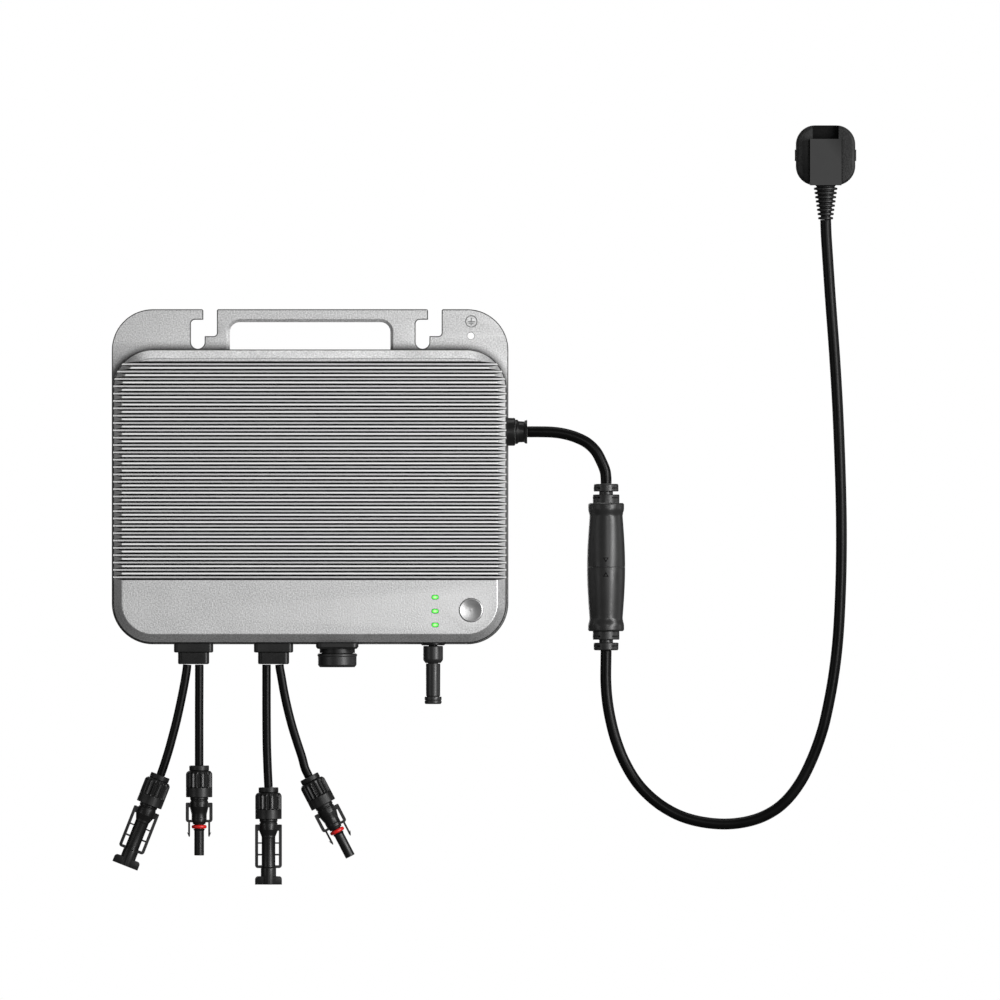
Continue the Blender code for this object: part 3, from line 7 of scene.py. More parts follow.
from math import atan2, cos, pi, radians, sin, tau

import bmesh
import bpy
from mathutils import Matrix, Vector
from mathutils.geometry import interpolate_bezier, tessellate_polygon


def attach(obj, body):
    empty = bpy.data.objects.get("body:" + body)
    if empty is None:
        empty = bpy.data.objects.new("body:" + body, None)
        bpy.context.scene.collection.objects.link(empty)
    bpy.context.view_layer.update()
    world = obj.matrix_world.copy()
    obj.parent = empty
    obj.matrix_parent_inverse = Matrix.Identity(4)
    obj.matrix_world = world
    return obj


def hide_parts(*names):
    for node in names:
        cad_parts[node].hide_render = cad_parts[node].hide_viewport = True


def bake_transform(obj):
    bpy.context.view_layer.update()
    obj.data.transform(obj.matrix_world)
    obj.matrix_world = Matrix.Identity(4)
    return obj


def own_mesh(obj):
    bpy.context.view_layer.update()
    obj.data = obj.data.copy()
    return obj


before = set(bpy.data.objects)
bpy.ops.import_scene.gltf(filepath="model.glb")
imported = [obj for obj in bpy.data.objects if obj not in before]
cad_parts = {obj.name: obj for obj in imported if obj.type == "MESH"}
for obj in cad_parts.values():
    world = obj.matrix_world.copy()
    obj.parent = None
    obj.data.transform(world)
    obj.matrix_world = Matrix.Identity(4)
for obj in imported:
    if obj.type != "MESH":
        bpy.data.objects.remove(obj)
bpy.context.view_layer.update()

ORIGIN = (0.0, 0.0, 0.0)
GAP = 0.0003
TOUCH = 0.00027  # how far a piece grows over the gap that its CAD solid keeps
ROUND = 64  # sides of a round piece
SHARP = radians(32)
FACING_FRONT = (tau / 4, 0.0, 0.0)  # turns a body's Z to the front
FACING_REAR = (-tau / 4, 0.0, 0.0)
FACING_RIGHT = (0.0, tau / 4, 0.0)

# Plate
PLATE_HALF_WIDTH = 0.1400
PLATE_HALF_HEIGHT = 0.1183
PLATE_CORNER = 0.0290
PLATE_THICKNESS = 0.0060
HANDLE_HALF_WIDTH = 0.0567
HANDLE_TOP = 0.1092
HANDLE_BOTTOM = 0.0894
HANDLE_CORNER = 0.0070
HANDLE_BEVEL = 0.0022
SLOT_MOUTH_RIGHTS = (-0.0658, 0.0929)
SLOT_MOUTH_WIDTH = 0.0096
SLOT_POCKET_WIDTH = 0.0184
SLOT_SEAT_WIDTH = 0.0098
SLOT_LIP_BOTTOM = 0.1109
SLOT_STEP = 0.0993
SLOT_SEAT_BOTTOM = 0.0904
EARTH_HOLE = (0.1135, 0.0995)
EARTH_HOLE_RADIUS = 0.0025
EARTH_SIGN = (0.1138, 0.1097)
EARTH_SIGN_RADIUS = 0.0043
SCREW_X = 0.1305
SCREW_LEVELS = (0.0580, -0.0850)
SCREWS = [(side * SCREW_X, 0.0, level) for level in SCREW_LEVELS for side in (-1, 1)]

# Housing
HOUSING_HALF_WIDTH = 0.1386
HOUSING_TOP = 0.0897
HOUSING_BOTTOM = -0.11725
HOUSING_CORNER = 0.0280
HOUSING_FRONT = -0.0420
HOUSING_REAR = -(PLATE_THICKNESS + GAP)
CHAMFER_WIDTH = 0.0063
CHAMFER_DEPTH = 0.0076
EDGE_ROUND = 0.0011
WALL = 0.0040
CAVITY_FLOOR = -0.0305
PANEL_FLOOR = -0.0385
GROOVE_COUNT = 30
GROOVE_TOP = 0.0793
GROOVE_PITCH = 0.005176
GROOVE_DEPTH = 0.0080
GROOVE_MOUTH = 0.0039
GROOVE_FLOOR = 0.0014
FIN_ROUND = 0.00018
LED_X = 0.0884
LED_HALF_WIDTH = 0.00235
LED_HALF_HEIGHT = 0.0014
LED_LEVELS = {"upper": -0.0849, "middle": -0.0947, "lower": -0.1044}
BUTTON = (0.1137, -0.0940)
BUTTON_RADIUS = 0.0083

# Fittings
FITTING_Y = -0.0220
FITTING_TOP = HOUSING_BOTTOM - GAP
PV_ENTRIES = {"pv_entry_left": -0.0820, "pv_entry_right": -0.0256}
PV_LEAD_RADIUS = 0.00305
PORT_X = 0.0193
ANTENNA_X = 0.0869
GLAND_Z = 0.0317
GLAND_END = 0.1533
MAINS_RADIUS = 0.0039
COUPLER_X = 0.2089
COUPLER_TOP = -0.0185
COUPLER_SEAM = -0.0637
COUPLER_BOTTOM = 2 * COUPLER_SEAM - COUPLER_TOP
COUPLER_RELIEF = 0.0135
MARK_FLOOR = 0.0125  # distance of the engraved marks from the coupler's axis
PLUG_X = 0.3634
PLUG_Z = 0.2264
PLUG_RELIEF_Y = -0.0450
PLUG_RELIEF_BOTTOM = 0.1810

# Routes of the cords, from exit to far end
MAINS_TAIL_ROUTE = [
    (GLAND_END + GAP, FITTING_Y, GLAND_Z),
    (0.1630, FITTING_Y, 0.0317), (0.1715, FITTING_Y, 0.0314), (0.1797, FITTING_Y, 0.0302),
    (0.1880, FITTING_Y, 0.0277), (0.1958, FITTING_Y, 0.0237), (0.2018, FITTING_Y, 0.0178),
    (0.2057, FITTING_Y, 0.0105), (0.2081, FITTING_Y, 0.0045), (0.2088, FITTING_Y, 0.0000),
    (COUPLER_X, FITTING_Y, COUPLER_TOP + COUPLER_RELIEF + GAP),
]
MAINS_LEAD_ROUTE = [
    (COUPLER_X, FITTING_Y, COUPLER_BOTTOM - COUPLER_RELIEF - GAP),
    (0.2088, -0.0220, -0.1300), (0.2087, -0.0220, -0.1433), (0.2097, -0.0220, -0.1575),
    (0.2121, -0.0220, -0.1716), (0.2158, -0.0220, -0.1857), (0.2213, -0.0220, -0.1998),
    (0.2294, -0.0221, -0.2139), (0.2385, -0.0223, -0.2243), (0.2500, -0.0226, -0.2333),
    (0.2639, -0.0230, -0.2402), (0.2806, -0.0236, -0.2441), (0.2978, -0.0244, -0.2447),
    (0.3147, -0.0254, -0.2414), (0.3278, -0.0264, -0.2350), (0.3378, -0.0275, -0.2262),
    (0.3467, -0.0287, -0.2139), (0.3537, -0.0299, -0.1998), (0.3591, -0.0311, -0.1857),
    (0.3632, -0.0322, -0.1716), (0.3687, -0.0342, -0.1433), (0.3721, -0.0360, -0.1151),
    (0.3740, -0.0380, -0.0799), (0.3746, -0.0397, -0.0446), (0.3741, -0.0411, -0.0093),
    (0.3723, -0.0428, 0.0400), (0.3699, -0.0439, 0.0823), (0.3668, -0.0447, 0.1247),
    (0.3649, -0.0450, 0.1529), (0.3638, -0.0450, 0.1700),
    (PLUG_X, PLUG_RELIEF_Y, PLUG_RELIEF_BOTTOM - GAP),
]
LEAD_TOP = -0.13245 - GAP
PV_LEAD_POINTS = {  # (x, z) of each point, all at the fittings' depth
    "pv_lead_1": [
        (-0.0866, LEAD_TOP), (-0.0867, -0.1345), (-0.0875, -0.1400), (-0.0891, -0.1490), (-0.0914, -0.1603),
        (-0.0939, -0.1716), (-0.0968, -0.1829), (-0.0999, -0.1941), (-0.1033, -0.2048), (-0.1052, -0.2102),
    ],
    "pv_lead_2": [
        (-0.0780, LEAD_TOP), (-0.0780, -0.1400), (-0.0781, -0.1640), (-0.0781, -0.1880), (-0.0781, -0.2033),
    ],
    "pv_lead_3": [
        (-0.0306, LEAD_TOP), (-0.0306, -0.1400), (-0.0306, -0.1640), (-0.0304, -0.1880), (-0.0298, -0.2060),
        (-0.0292, -0.2187),
    ],
    "pv_lead_4": [
        (-0.0214, LEAD_TOP), (-0.0213, -0.1345), (-0.0203, -0.1400), (-0.0182, -0.1520), (-0.0156, -0.1640),
        (-0.0125, -0.1760), (-0.0091, -0.1870), (-0.0055, -0.1980), (-0.0035, -0.2055), (-0.0008, -0.2112),
    ],
}
PV_LEAD_ROUTES = {
    name: [(x, FITTING_Y, z) for x, z in points] for name, points in PV_LEAD_POINTS.items()
}

# Connectors: the lead that each is on, and its tilt in degrees
CONNECTORS = {
    "pv_socket_1": ("pv_lead_1", 21.5),
    "pv_plug_2": ("pv_lead_2", 0.0),
    "pv_socket_3": ("pv_lead_3", 0.0),
    "pv_plug_4": ("pv_lead_4", -27.4),
}

# Speckled finishes, and copies of the casting painted with light and shade: material name,
# darkest and palest colour (a number is a grey), range of roughness, metallic, grains to the metre,
# height of the grain, colour of worn edges and, where it isn't 0.5, the specular level
CAST = (0.60, 0.88, (0.40, 0.50), 0.75, 1000, 0.00010, 0.95)
FINISHES_AND_PAINTED_LIGHT = {
    "casting": ("cast_aluminium", *CAST),
    # painted highlight: near-white copy of the casting for the fin tops
    "fin_top": ("fin_top", 0.98, 1.0, (0.40, 0.48), 0.0, 1500, 0.00002, 1.0),
    # painted light: paler copy of the casting for the grooves' floors
    "floor": ("groove_floor", 0.88, 0.98, (0.45, 0.55), 0.3, 1500, 0.00003, 0.98),
    # painted shade: near-black, for the grooves' flanks, the coupler's engraved marks and the plug's recess
    "flank": ("groove_flank", 0.004, 0.010, (0.7, 0.8), 0.0, 1500, 0.00004, 0.01, 0.1),
    # painted shade: near-black line on the plate's front rim and the housing's shoulder
    "edge": ("casting_edge", 0.035, 0.060, (0.5, 0.65), 0.2, 1500, 0.00004, 0.08),
    # painted shade: dark grey in the earth sign's engraving
    "mark": ("engraved_mark", 0.20, 0.28, (0.5, 0.7), 0.3, 1500, 0.00003, 0.3),
    "button": ("button_metal", 0.54, 0.66, (0.30, 0.42), 0.85, 2600, 0.00002, 0.75),
    "black": ("black_nylon", 0.006, 0.012, (0.30, 0.42), 0.0, 1900, 0.00004, 0.03, 0.35),
    "coupler": ("coupler_nylon", 0.019, 0.028, (0.30, 0.38), 0.0, 1900, 0.00003, 0.05, 0.4),
    "plug": ("plug_nylon", 0.008, 0.026, (0.46, 0.60), 0.0, 1100, 0.00012, 0.03, 0.3),
    "grip": ("plug_grip", 0.014, 0.019, (0.50, 0.60), 0.0, 2400, 0.00003, 0.05, 0.16),
    "cap": ("cap_nylon", 0.020, 0.030, (0.30, 0.40), 0.0, 1900, 0.00004, 0.05, 0.4),
    "rubber": ("black_rubber", 0.006, 0.012, (0.34, 0.46), 0.0, 1700, 0.00004, 0.03, 0.35),
    "gasket": ("silicone_gasket", 0.20, 0.28, (0.6, 0.75), 0.0, 1200, 0.00004, 0.3),
    "steel": ("steel", 0.50, 0.62, (0.22, 0.36), 1.0, 1800, 0.00002, 0.8),
    "ferrite": ("ferrite", 0.045, 0.075, (0.65, 0.8), 0.0, 1400, 0.00008, 0.12),
    "red": (
        "red_seal", (0.72, 0.008, 0.008), (0.85, 0.02, 0.015),
        (0.32, 0.42), 0.0, 1500, 0.00003, (0.9, 0.05, 0.04),
    ),
    "contact": (
        "nickel_contact", (0.60, 0.58, 0.53), (0.70, 0.68, 0.62),
        (0.18, 0.3), 1.0, 1500, 0.00001, (0.8, 0.78, 0.72),
    ),
    "board": (
        "circuit_board", (0.01, 0.10, 0.04), (0.03, 0.17, 0.07),
        (0.35, 0.5), 0.0, 420, 0.00006, (0.1, 0.3, 0.15),
    ),
    "copper": (
        "copper_winding", (0.50, 0.18, 0.06), (0.66, 0.28, 0.11),
        (0.3, 0.45), 0.9, 900, 0.00015, (0.8, 0.4, 0.2),
    ),
    "moulded": (
        "moulded_part", (0.03, 0.06, 0.16), (0.05, 0.09, 0.22),
        (0.4, 0.55), 0.0, 1300, 0.00004, (0.1, 0.15, 0.3),
    ),
    "pad": (
        "thermal_pad", (0.42, 0.50, 0.58), (0.52, 0.58, 0.64),
        (0.75, 0.9), 0.0, 1100, 0.00006, (0.6, 0.66, 0.7),
    ),
}
WALL_SHADE_REACH = 0.007  # how near a wall has to stand to darken the plate
LENS_GLOW = 0.75


# --- Materials ------------------------------------------------------------------


def rgba(value):
    """Opaque colour from three parts or from one grey."""
    return (*value, 1.0) if isinstance(value, tuple) else (value, value, value, 1.0)


def new_material(name, colour, roughness, metallic=0.0, specular=0.5):
    """Principled material with the values that its textures vary round."""
    made = bpy.data.materials.new(name)
    made.use_nodes = True
    inputs = made.node_tree.nodes["Principled BSDF"].inputs
    inputs["Base Color"].default_value = rgba(colour)
    inputs["Roughness"].default_value = roughness
    inputs["Metallic"].default_value = metallic
    inputs["Specular IOR Level"].default_value = specular
    made.diffuse_color = rgba(colour)
    return made


def add_node(made, kind, inputs=None, **settings):
    """New shader node with its settings and inputs, each a value or another node's output."""
    node = made.node_tree.nodes.new(f"ShaderNode{kind}")
    for key, value in settings.items():
        setattr(node, key, value)
    for key, value in (inputs or {}).items():
        if isinstance(value, bpy.types.NodeSocket):
            made.node_tree.links.new(value, node.inputs[key])
        else:
            node.inputs[key].default_value = value
    return node


def connect(made, socket, source):
    """Link a source to one of the shader's sockets."""
    made.node_tree.links.new(source, made.node_tree.nodes["Principled BSDF"].inputs[socket])


def noise(made, scale, detail=4.0):
    """Noise in the object's own metres, with scale in grains to the metre."""
    place = add_node(made, "TexCoord").outputs["Object"]
    return add_node(made, "TexNoise", {"Vector": place, "Scale": scale, "Detail": detail}).outputs["Fac"]


def from_centre(made, stretch=(1.0, 1.0, 1.0)):
    """Distance from the object's origin, with each axis stretched."""
    place = add_node(made, "TexCoord").outputs["Object"]
    scaled = add_node(made, "VectorMath", {0: place, 1: stretch}, operation="MULTIPLY")
    length = add_node(made, "VectorMath", {0: scaled.outputs["Vector"]}, operation="LENGTH")
    return length.outputs["Value"]


def spread(made, source, low, high, start=0.35, end=0.65):
    """A value or colour that runs from low to high as the source does."""
    ramp = add_node(made, "ValToRGB", {"Fac": source})
    for stop, place, value in zip(ramp.color_ramp.elements, (start, end), (low, high)):
        stop.position = place
        stop.color = rgba(value)
    return ramp.outputs["Color"]


def worn(made, base, edge_colour):
    """The base colour, changed to edge_colour where the surface turns sharply out."""
    turning = add_node(made, "NewGeometry").outputs["Pointiness"]
    inputs = {"Factor": spread(made, turning, 0.0, 1.0, 0.53, 0.60), "A": base, "B": rgba(edge_colour)}
    return add_node(made, "Mix", inputs, data_type="RGBA").outputs["Result"]


def grained(name, low, high, roughness, metallic, grain, height, edge, specular=0.5):
    """Fine grain in colour and bump, broad variation in roughness, worn edges."""
    made = new_material(name, low, sum(roughness) / 2, metallic, specular)
    fine = noise(made, grain, 3.0)
    broad = noise(made, grain / 22, 2.0)
    base = spread(made, fine, low, high, 0.38, 0.64)
    bump = add_node(made, "Bump", {"Distance": height, "Strength": 1.0, "Height": fine})
    connect(made, "Base Color", worn(made, base, edge))
    connect(made, "Roughness", spread(made, broad, *roughness))
    connect(made, "Normal", bump.outputs["Normal"])
    return made


def shaded_near_walls(made):
    """The material with its base colour darkened where a wall stands over the surface."""
    base = made.node_tree.nodes["Principled BSDF"].inputs["Base Color"].links[0].from_socket
    shelter = add_node(made, "AmbientOcclusion", {"Distance": WALL_SHADE_REACH}, samples=8)
    amount = spread(made, shelter.outputs["AO"], 0.10, 1.0, 0.50, 0.92)
    inputs = {"Factor": 1.0, "A": base, "B": amount}
    mix = add_node(made, "Mix", inputs, data_type="RGBA", blend_type="MULTIPLY")
    connect(made, "Base Color", mix.outputs["Result"])
    return made


def cable_jacket():
    """Smooth extruded jacket whose colour and soft gloss drift along it."""
    made = new_material("cable_jacket", 0.004, 0.34, specular=0.13)
    broad = noise(made, 45.0, 2.0)
    connect(made, "Base Color", spread(made, broad, 0.003, 0.005))
    connect(made, "Roughness", spread(made, broad, 0.31, 0.37))
    return made


def lens_material():
    """Green light pipe, lit from behind, with a paler centre."""
    made = new_material("green_lens", (0.03, 0.75, 0.02), 0.18)
    distance = from_centre(made, (1 / LED_HALF_WIDTH, 0.0, 1 / LED_HALF_HEIGHT))
    glow = spread(made, distance, (0.55, 1.0, 0.42), (0.02, 0.62, 0.02), 0.05, 0.95)
    connect(made, "Base Color", glow)
    connect(made, "Emission Color", glow)
    made.node_tree.nodes["Principled BSDF"].inputs["Emission Strength"].default_value = LENS_GLOW
    connect(made, "Roughness", spread(made, noise(made, 800.0), 0.14, 0.26))
    return made


finish_and_painted_light = {key: grained(*row) for key, row in FINISHES_AND_PAINTED_LIGHT.items()}
finish_and_painted_light["plate"] = shaded_near_walls(grained("plate_casting", *CAST))
finish_and_painted_light["jacket"] = cable_jacket()
finish_and_painted_light["lens"] = lens_material()


# --- Mesh helpers ---------------------------------------------------------------


def shade(mesh):
    """Smooth shading with sharp edges kept."""
    mesh.shade_smooth()
    mesh.set_sharp_from_angle(angle=SHARP)


def to_mesh(shape):
    """A closed bmesh as a mesh whose faces point out."""
    bmesh.ops.recalc_face_normals(shape, faces=shape.faces)
    mesh = bpy.data.meshes.new("mesh")
    shape.to_mesh(mesh)
    shape.free()
    shade(mesh)
    return mesh


def link(name, mesh, material=None, place=ORIGIN, turn=ORIGIN):
    """Put a mesh in the scene."""
    made = bpy.data.objects.new(name, mesh)
    made.location = place
    made.rotation_euler = turn
    if material:
        mesh.materials.append(finish_and_painted_light[material])
    bpy.context.scene.collection.objects.link(made)
    return made


def settle(piece, body, node):
    """Hang a piece on the body it rides on and hide the CAD node it stands for."""
    if not piece.modifiers:
        even = piece.modifiers.new("even_shading", "WEIGHTED_NORMAL")
        even.keep_sharp = True
        even.weight = 80
    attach(piece, body)
    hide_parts(node)


def bridge(shape, ring, following):
    """Faces between two rings, either of which may be a single pole."""
    count = max(len(ring), len(following))
    for k in range(count):
        after = (k + 1) % count
        if len(ring) == 1:
            shape.faces.new((ring[0], following[k], following[after]))
        elif len(following) == 1:
            shape.faces.new((ring[k], following[0], ring[after]))
        else:
            shape.faces.new((ring[k], following[k], following[after], ring[after]))


def add_loft(shape, rings):
    """Closed body through rings of equal count, capped at both ends, added to a bmesh."""
    made = [[shape.verts.new(point) for point in ring] for ring in rings]
    for ring, following in zip(made, made[1:]):
        bridge(shape, ring, following)
    shape.faces.new(made[0])
    shape.faces.new(made[-1])


def loft(*bodies):
    """Mesh of one or more closed bodies, each given by its rings."""
    shape = bmesh.new()
    for rings in bodies:
        add_loft(shape, rings)
    return to_mesh(shape)


def curve_between(start, corner, end, steps):
    """Points from start to end on the curve that rounds a corner."""
    out = []
    for step in range(steps + 1):
        t = step / steps
        out.append(start * (1 - t) ** 2 + corner * 2 * t * (1 - t) + end * t**2)
    return out


def eased(profile, radius):
    """A (radius, height) profile with its corners rounded by short arcs."""
    points = [Vector(point) for point in profile]
    closed = profile[0][0] > 0.0
    count = len(points)
    nearly_straight = radians(14)
    out = []
    for k, point in enumerate(points):
        before = points[k - 1] - point
        after = points[(k + 1) % count] - point
        keep = not closed and k in (0, count - 1)
        keep = keep or min(before.length, after.length) < 1e-9
        if keep or abs(before.angle(after) - pi) < nearly_straight:
            out.append(tuple(point))
            continue
        reach = min(radius, before.length * 0.45, after.length * 0.45)
        start = point + before.normalized() * reach
        end = point + after.normalized() * reach
        out += [(max(found.x, 0.00002), found.y) for found in curve_between(start, point, end, 3)]
    return out


def turned(profile, soften=0.0, steps=ROUND):
    """Body turned about Z from (radius, height) points with eased corners.

    A profile that starts and ends on the axis is solid, any other is a closed loop.
    """
    profile = eased(profile, soften)
    shape = bmesh.new()
    rings = []
    for radius, height in profile:
        if radius == 0.0:
            rings.append([shape.verts.new((0.0, 0.0, height))])
        else:
            rings.append([shape.verts.new((x, y, height)) for x, y in circle(0.0, 0.0, radius, steps)])
    pairs = list(zip(rings, rings[1:]))
    if profile[0][0] > 0.0:
        pairs.append((rings[-1], rings[0]))
    for ring, following in pairs:
        bridge(shape, ring, following)
    return to_mesh(shape)


def rod(radius, low, high, steps=ROUND):
    """Plain cylinder about Z."""
    return turned([(0.0, high), (radius, high), (radius, low), (0.0, low)], 0.0, steps)


def blocks(*corners):
    """One mesh of boxes, each given by its lowest and highest corner."""
    shape = bmesh.new()
    for low, high in corners:
        for vert in bmesh.ops.create_cube(shape, size=1.0)["verts"]:
            for axis in range(3):
                vert.co[axis] = high[axis] if vert.co[axis] > 0.0 else low[axis]
    return to_mesh(shape)


def circle(x, z, radius, steps=40):
    """Outline of a circle."""
    return [(x + radius * cos(tau * k / steps), z + radius * sin(tau * k / steps)) for k in range(steps)]


def arc(x, z, radius, start, sweep, steps):
    """Points of an arc, with its start and sweep in turns."""
    angles = [tau * (start + sweep * k / steps) for k in range(steps + 1)]
    return [(x + radius * cos(angle), z + radius * sin(angle)) for angle in angles]


def rounded(left, right, low, high, radius, steps=10):
    """Counter-clockwise outline of a rounded rectangle, as pairs."""
    near, far = left + radius, right - radius
    centres = [(far, high - radius), (near, high - radius), (near, low + radius), (far, low + radius)]
    outline = []
    for quarter, (x, z) in enumerate(centres):
        outline += arc(x, z, radius, quarter / 4, 1 / 4, steps)
    return outline


def centred(half_width, half_height, radius, steps=8):
    """Outline of a rounded rectangle about the origin."""
    return rounded(-half_width, half_width, -half_height, half_height, radius, steps)


def at_depth(outline, y):
    """An outline in the XZ plane at one depth."""
    return [(x, y, z) for x, z in outline]


def at_level(outline, z):
    """An outline in the XY plane at one level."""
    return [(x, y, z) for x, y in outline]


def through(outline, start, end):
    """Plain body along Y with one outline from start to end."""
    return loft([at_depth(outline, start), at_depth(outline, end)])


def grown(outline, distance):
    """An outline moved outwards by distance, with mitred corners."""
    out = []
    count = len(outline)
    for k, point in enumerate(outline):
        here = Vector(point)
        back = (here - Vector(outline[k - 1])).normalized()
        ahead = (Vector(outline[(k + 1) % count]) - here).normalized()
        first = Vector((back.y, -back.x))
        mitre = first + Vector((ahead.y, -ahead.x))
        if mitre.length < 1e-6:
            mitre = first
        mitre = mitre.normalized()
        share = max(0.5, mitre.dot(first))
        out.append(tuple(here + mitre * (distance / share)))
    return out


def prism(loops):
    """Body along Y from loops of ((y, outline), ...), the first outside and the rest holes."""
    shape = bmesh.new()
    made = []
    for rings in loops:
        made.append([[shape.verts.new(point) for point in at_depth(ring, y)] for y, ring in rings])
    for rings in made:
        for ring, following in zip(rings, rings[1:]):
            bridge(shape, ring, following)
    for end in (0, -1):
        outlines = [[vert.co.copy() for vert in rings[end]] for rings in made]
        verts = [vert for rings in made for vert in rings[end]]
        for triangle in tessellate_polygon(outlines):
            shape.faces.new([verts[index] for index in triangle])
    return to_mesh(shape)


def cutter(mesh, place=ORIGIN, turn=ORIGIN):
    """A shape that a Boolean reads once."""
    return link("tool", mesh, None, place, turn)


def carve(piece, tools, operation="DIFFERENCE"):
    """Apply Booleans to a piece's mesh one after another and remove the tools."""
    for tool in tools:
        modifier = piece.modifiers.new("carve", "BOOLEAN")
        modifier.operation = operation
        modifier.solver = "EXACT"
        modifier.object = tool
        bpy.context.view_layer.update()
        graph = bpy.context.evaluated_depsgraph_get()
        mesh = bpy.data.meshes.new_from_object(piece.evaluated_get(graph))
        piece.modifiers.clear()
        piece.data = mesh
        bpy.data.objects.remove(tool)


def soften_edges(piece, width, segments):
    """Small rounded edges as a modifier, with smooth shading."""
    shade(piece.data)
    bevel = piece.modifiers.new("edges", "BEVEL")
    bevel.width = width
    bevel.segments = segments
    bevel.limit_method = "ANGLE"
    bevel.angle_limit = radians(38)
    bevel.harden_normals = True
    bevel.use_clamp_overlap = True


# --- Camera ---------------------------------------------------------------------

FRAME_WIDTH = 0.7053  # width of the view at the fittings' depth
VIEW_CENTRE = Vector((0.1341, FITTING_Y, -0.0164))
CAMERA_DISTANCE = 15.0


def make_camera():
    """Long lens straight in front of the wall."""
    data = bpy.data.cameras.new("camera")
    data.sensor_width = 36.0
    data.lens = data.sensor_width * CAMERA_DISTANCE / FRAME_WIDTH
    data.clip_end = 50.0
    camera = bpy.data.objects.new("camera", data)
    camera.location = VIEW_CENTRE - Vector((0.0, CAMERA_DISTANCE, 0.0))
    camera.rotation_euler = (tau / 4, 0.0, 0.0)
    bpy.context.scene.collection.objects.link(camera)
    bpy.context.scene.camera = camera


make_camera()


# --- Cords ----------------------------------------------------------------------

CORD_STEP = 0.002  # spacing of the rings along a cord
CORD_ROUNDING = 0.0003


def smooth_route(points):
    """Evenly spaced points on a smooth curve through a route's points, and its length."""
    route = [Vector(point) for point in points]
    last = len(route) - 1
    tangents = [(route[min(i + 1, last)] - route[max(i - 1, 0)]).normalized() for i in range(last + 1)]
    fine = [route[0]]
    for i in range(last):
        reach = (route[i + 1] - route[i]).length / 3
        start = route[i] + tangents[i] * reach
        end = route[i + 1] - tangents[i + 1] * reach
        fine += interpolate_bezier(route[i], start, end, route[i + 1], 24)[1:]
    travelled = [0.0]
    for before, after in zip(fine, fine[1:]):
        travelled.append(travelled[-1] + (after - before).length)
    length = travelled[-1]
    count = max(2, round(length / CORD_STEP))
    found = []
    place = 0
    for target in [length * k / count for k in range(count + 1)]:
        while place < len(fine) - 2 and travelled[place + 1] < target:
            place += 1
        share = (target - travelled[place]) / (travelled[place + 1] - travelled[place])
        found.append(fine[place].lerp(fine[place + 1], share))
    return found, length


def tube_mesh(points, radius, steps=32):
    """Round tube through points with rounded-over ends."""
    rings = []
    side = Vector((0.0, 1.0, 0.0))
    last = len(points) - 1
    for k, point in enumerate(points):
        along = (points[min(k + 1, last)] - points[max(k - 1, 0)]).normalized()
        side = (side - along * side.dot(along)).normalized()
        other = along.cross(side)
        reach = radius * (0.97 if k in (0, last) else 1.0)
        rings.append([point + (side * x + other * y) * reach for x, y in circle(0.0, 0.0, 1.0, steps)])
    return loft(rings)


def with_close_ends(points):
    """The points with one more close to each end, where the tube's end is rounded over."""
    first = (points[1] - points[0]).normalized()
    last = (points[-2] - points[-1]).normalized()
    head = [points[0] - first * TOUCH, points[0] + first * CORD_ROUNDING]
    tail = [points[-1] + last * CORD_ROUNDING, points[-1] - last * TOUCH]
    return head + points[1:-1] + tail


def make_cords():
    """The mains tail, the four panel leads and the mains lead, as jacketed tubes."""
    routes = {"mains_tail": (MAINS_TAIL_ROUTE, MAINS_RADIUS)}
    for name, route in PV_LEAD_ROUTES.items():
        routes[name] = (route, PV_LEAD_RADIUS)
    routes["mains_lead"] = (MAINS_LEAD_ROUTE, MAINS_RADIUS)
    made = {}
    for name, (route, radius) in routes.items():
        points, length = smooth_route(route)
        points = with_close_ends(points)
        tube = link(f"{name}_cord", tube_mesh(points, radius), "jacket")
        made[name] = (tube, points, length, radius)
        if name != "mains_lead":
            settle(tube, "inverter", name)
    lead = made["mains_lead"][0]
    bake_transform(lead)
    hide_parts("mains_lead")
    return made


cords = make_cords()


# --- Plate ----------------------------------------------------------------------

PLATE_EDGE = 0.0007  # rounding of the plate's edges
CORNER_STEPS = 20


def slot_points(right):
    """One hook slot as a dent in the plate's top edge, from its right wall to its left."""
    mouth_left = right - SLOT_MOUTH_WIDTH
    left = right - SLOT_POCKET_WIDTH
    seat = SLOT_SEAT_WIDTH / 2
    lip = 0.0030
    corner = 0.0024
    edge = 0.0012  # rounding where the mouth meets the plate's edge
    top = PLATE_HALF_HEIGHT - edge
    points = arc(right + edge, top, edge, 1 / 4, 1 / 4, 4)
    points += arc(right - corner, SLOT_STEP + corner, corner, 0.0, -1 / 4, 8)
    points.append((left + SLOT_SEAT_WIDTH, SLOT_STEP))
    points += arc(left + seat, SLOT_SEAT_BOTTOM + seat, seat, 0.0, -1 / 2, 16)[1:]
    points += arc(left + lip, SLOT_LIP_BOTTOM - lip, lip, 1 / 2, -1 / 4, 8)
    points.append((mouth_left, SLOT_LIP_BOTTOM))
    return points + arc(mouth_left - edge, top, edge, 0.0, 1 / 4, 4)


def plate_outline():
    """Outline of the plate with both hook slots let into its top edge."""
    outline = centred(PLATE_HALF_WIDTH, PLATE_HALF_HEIGHT, PLATE_CORNER, CORNER_STEPS)
    slots = []
    for right in sorted(SLOT_MOUTH_RIGHTS, reverse=True):
        slots += slot_points(right)
    return outline[: CORNER_STEPS + 1] + slots + outline[CORNER_STEPS + 1 :]


def handle_outline(grow):
    """Outline of the handle opening: round above, square where the housing closes it."""
    right = HANDLE_HALF_WIDTH + grow
    upper = rounded(-right, right, HANDLE_BOTTOM, HANDLE_TOP + grow, HANDLE_CORNER + grow, 10)
    return upper[:22] + [(-right, HANDLE_BOTTOM), (right, HANDLE_BOTTOM)]


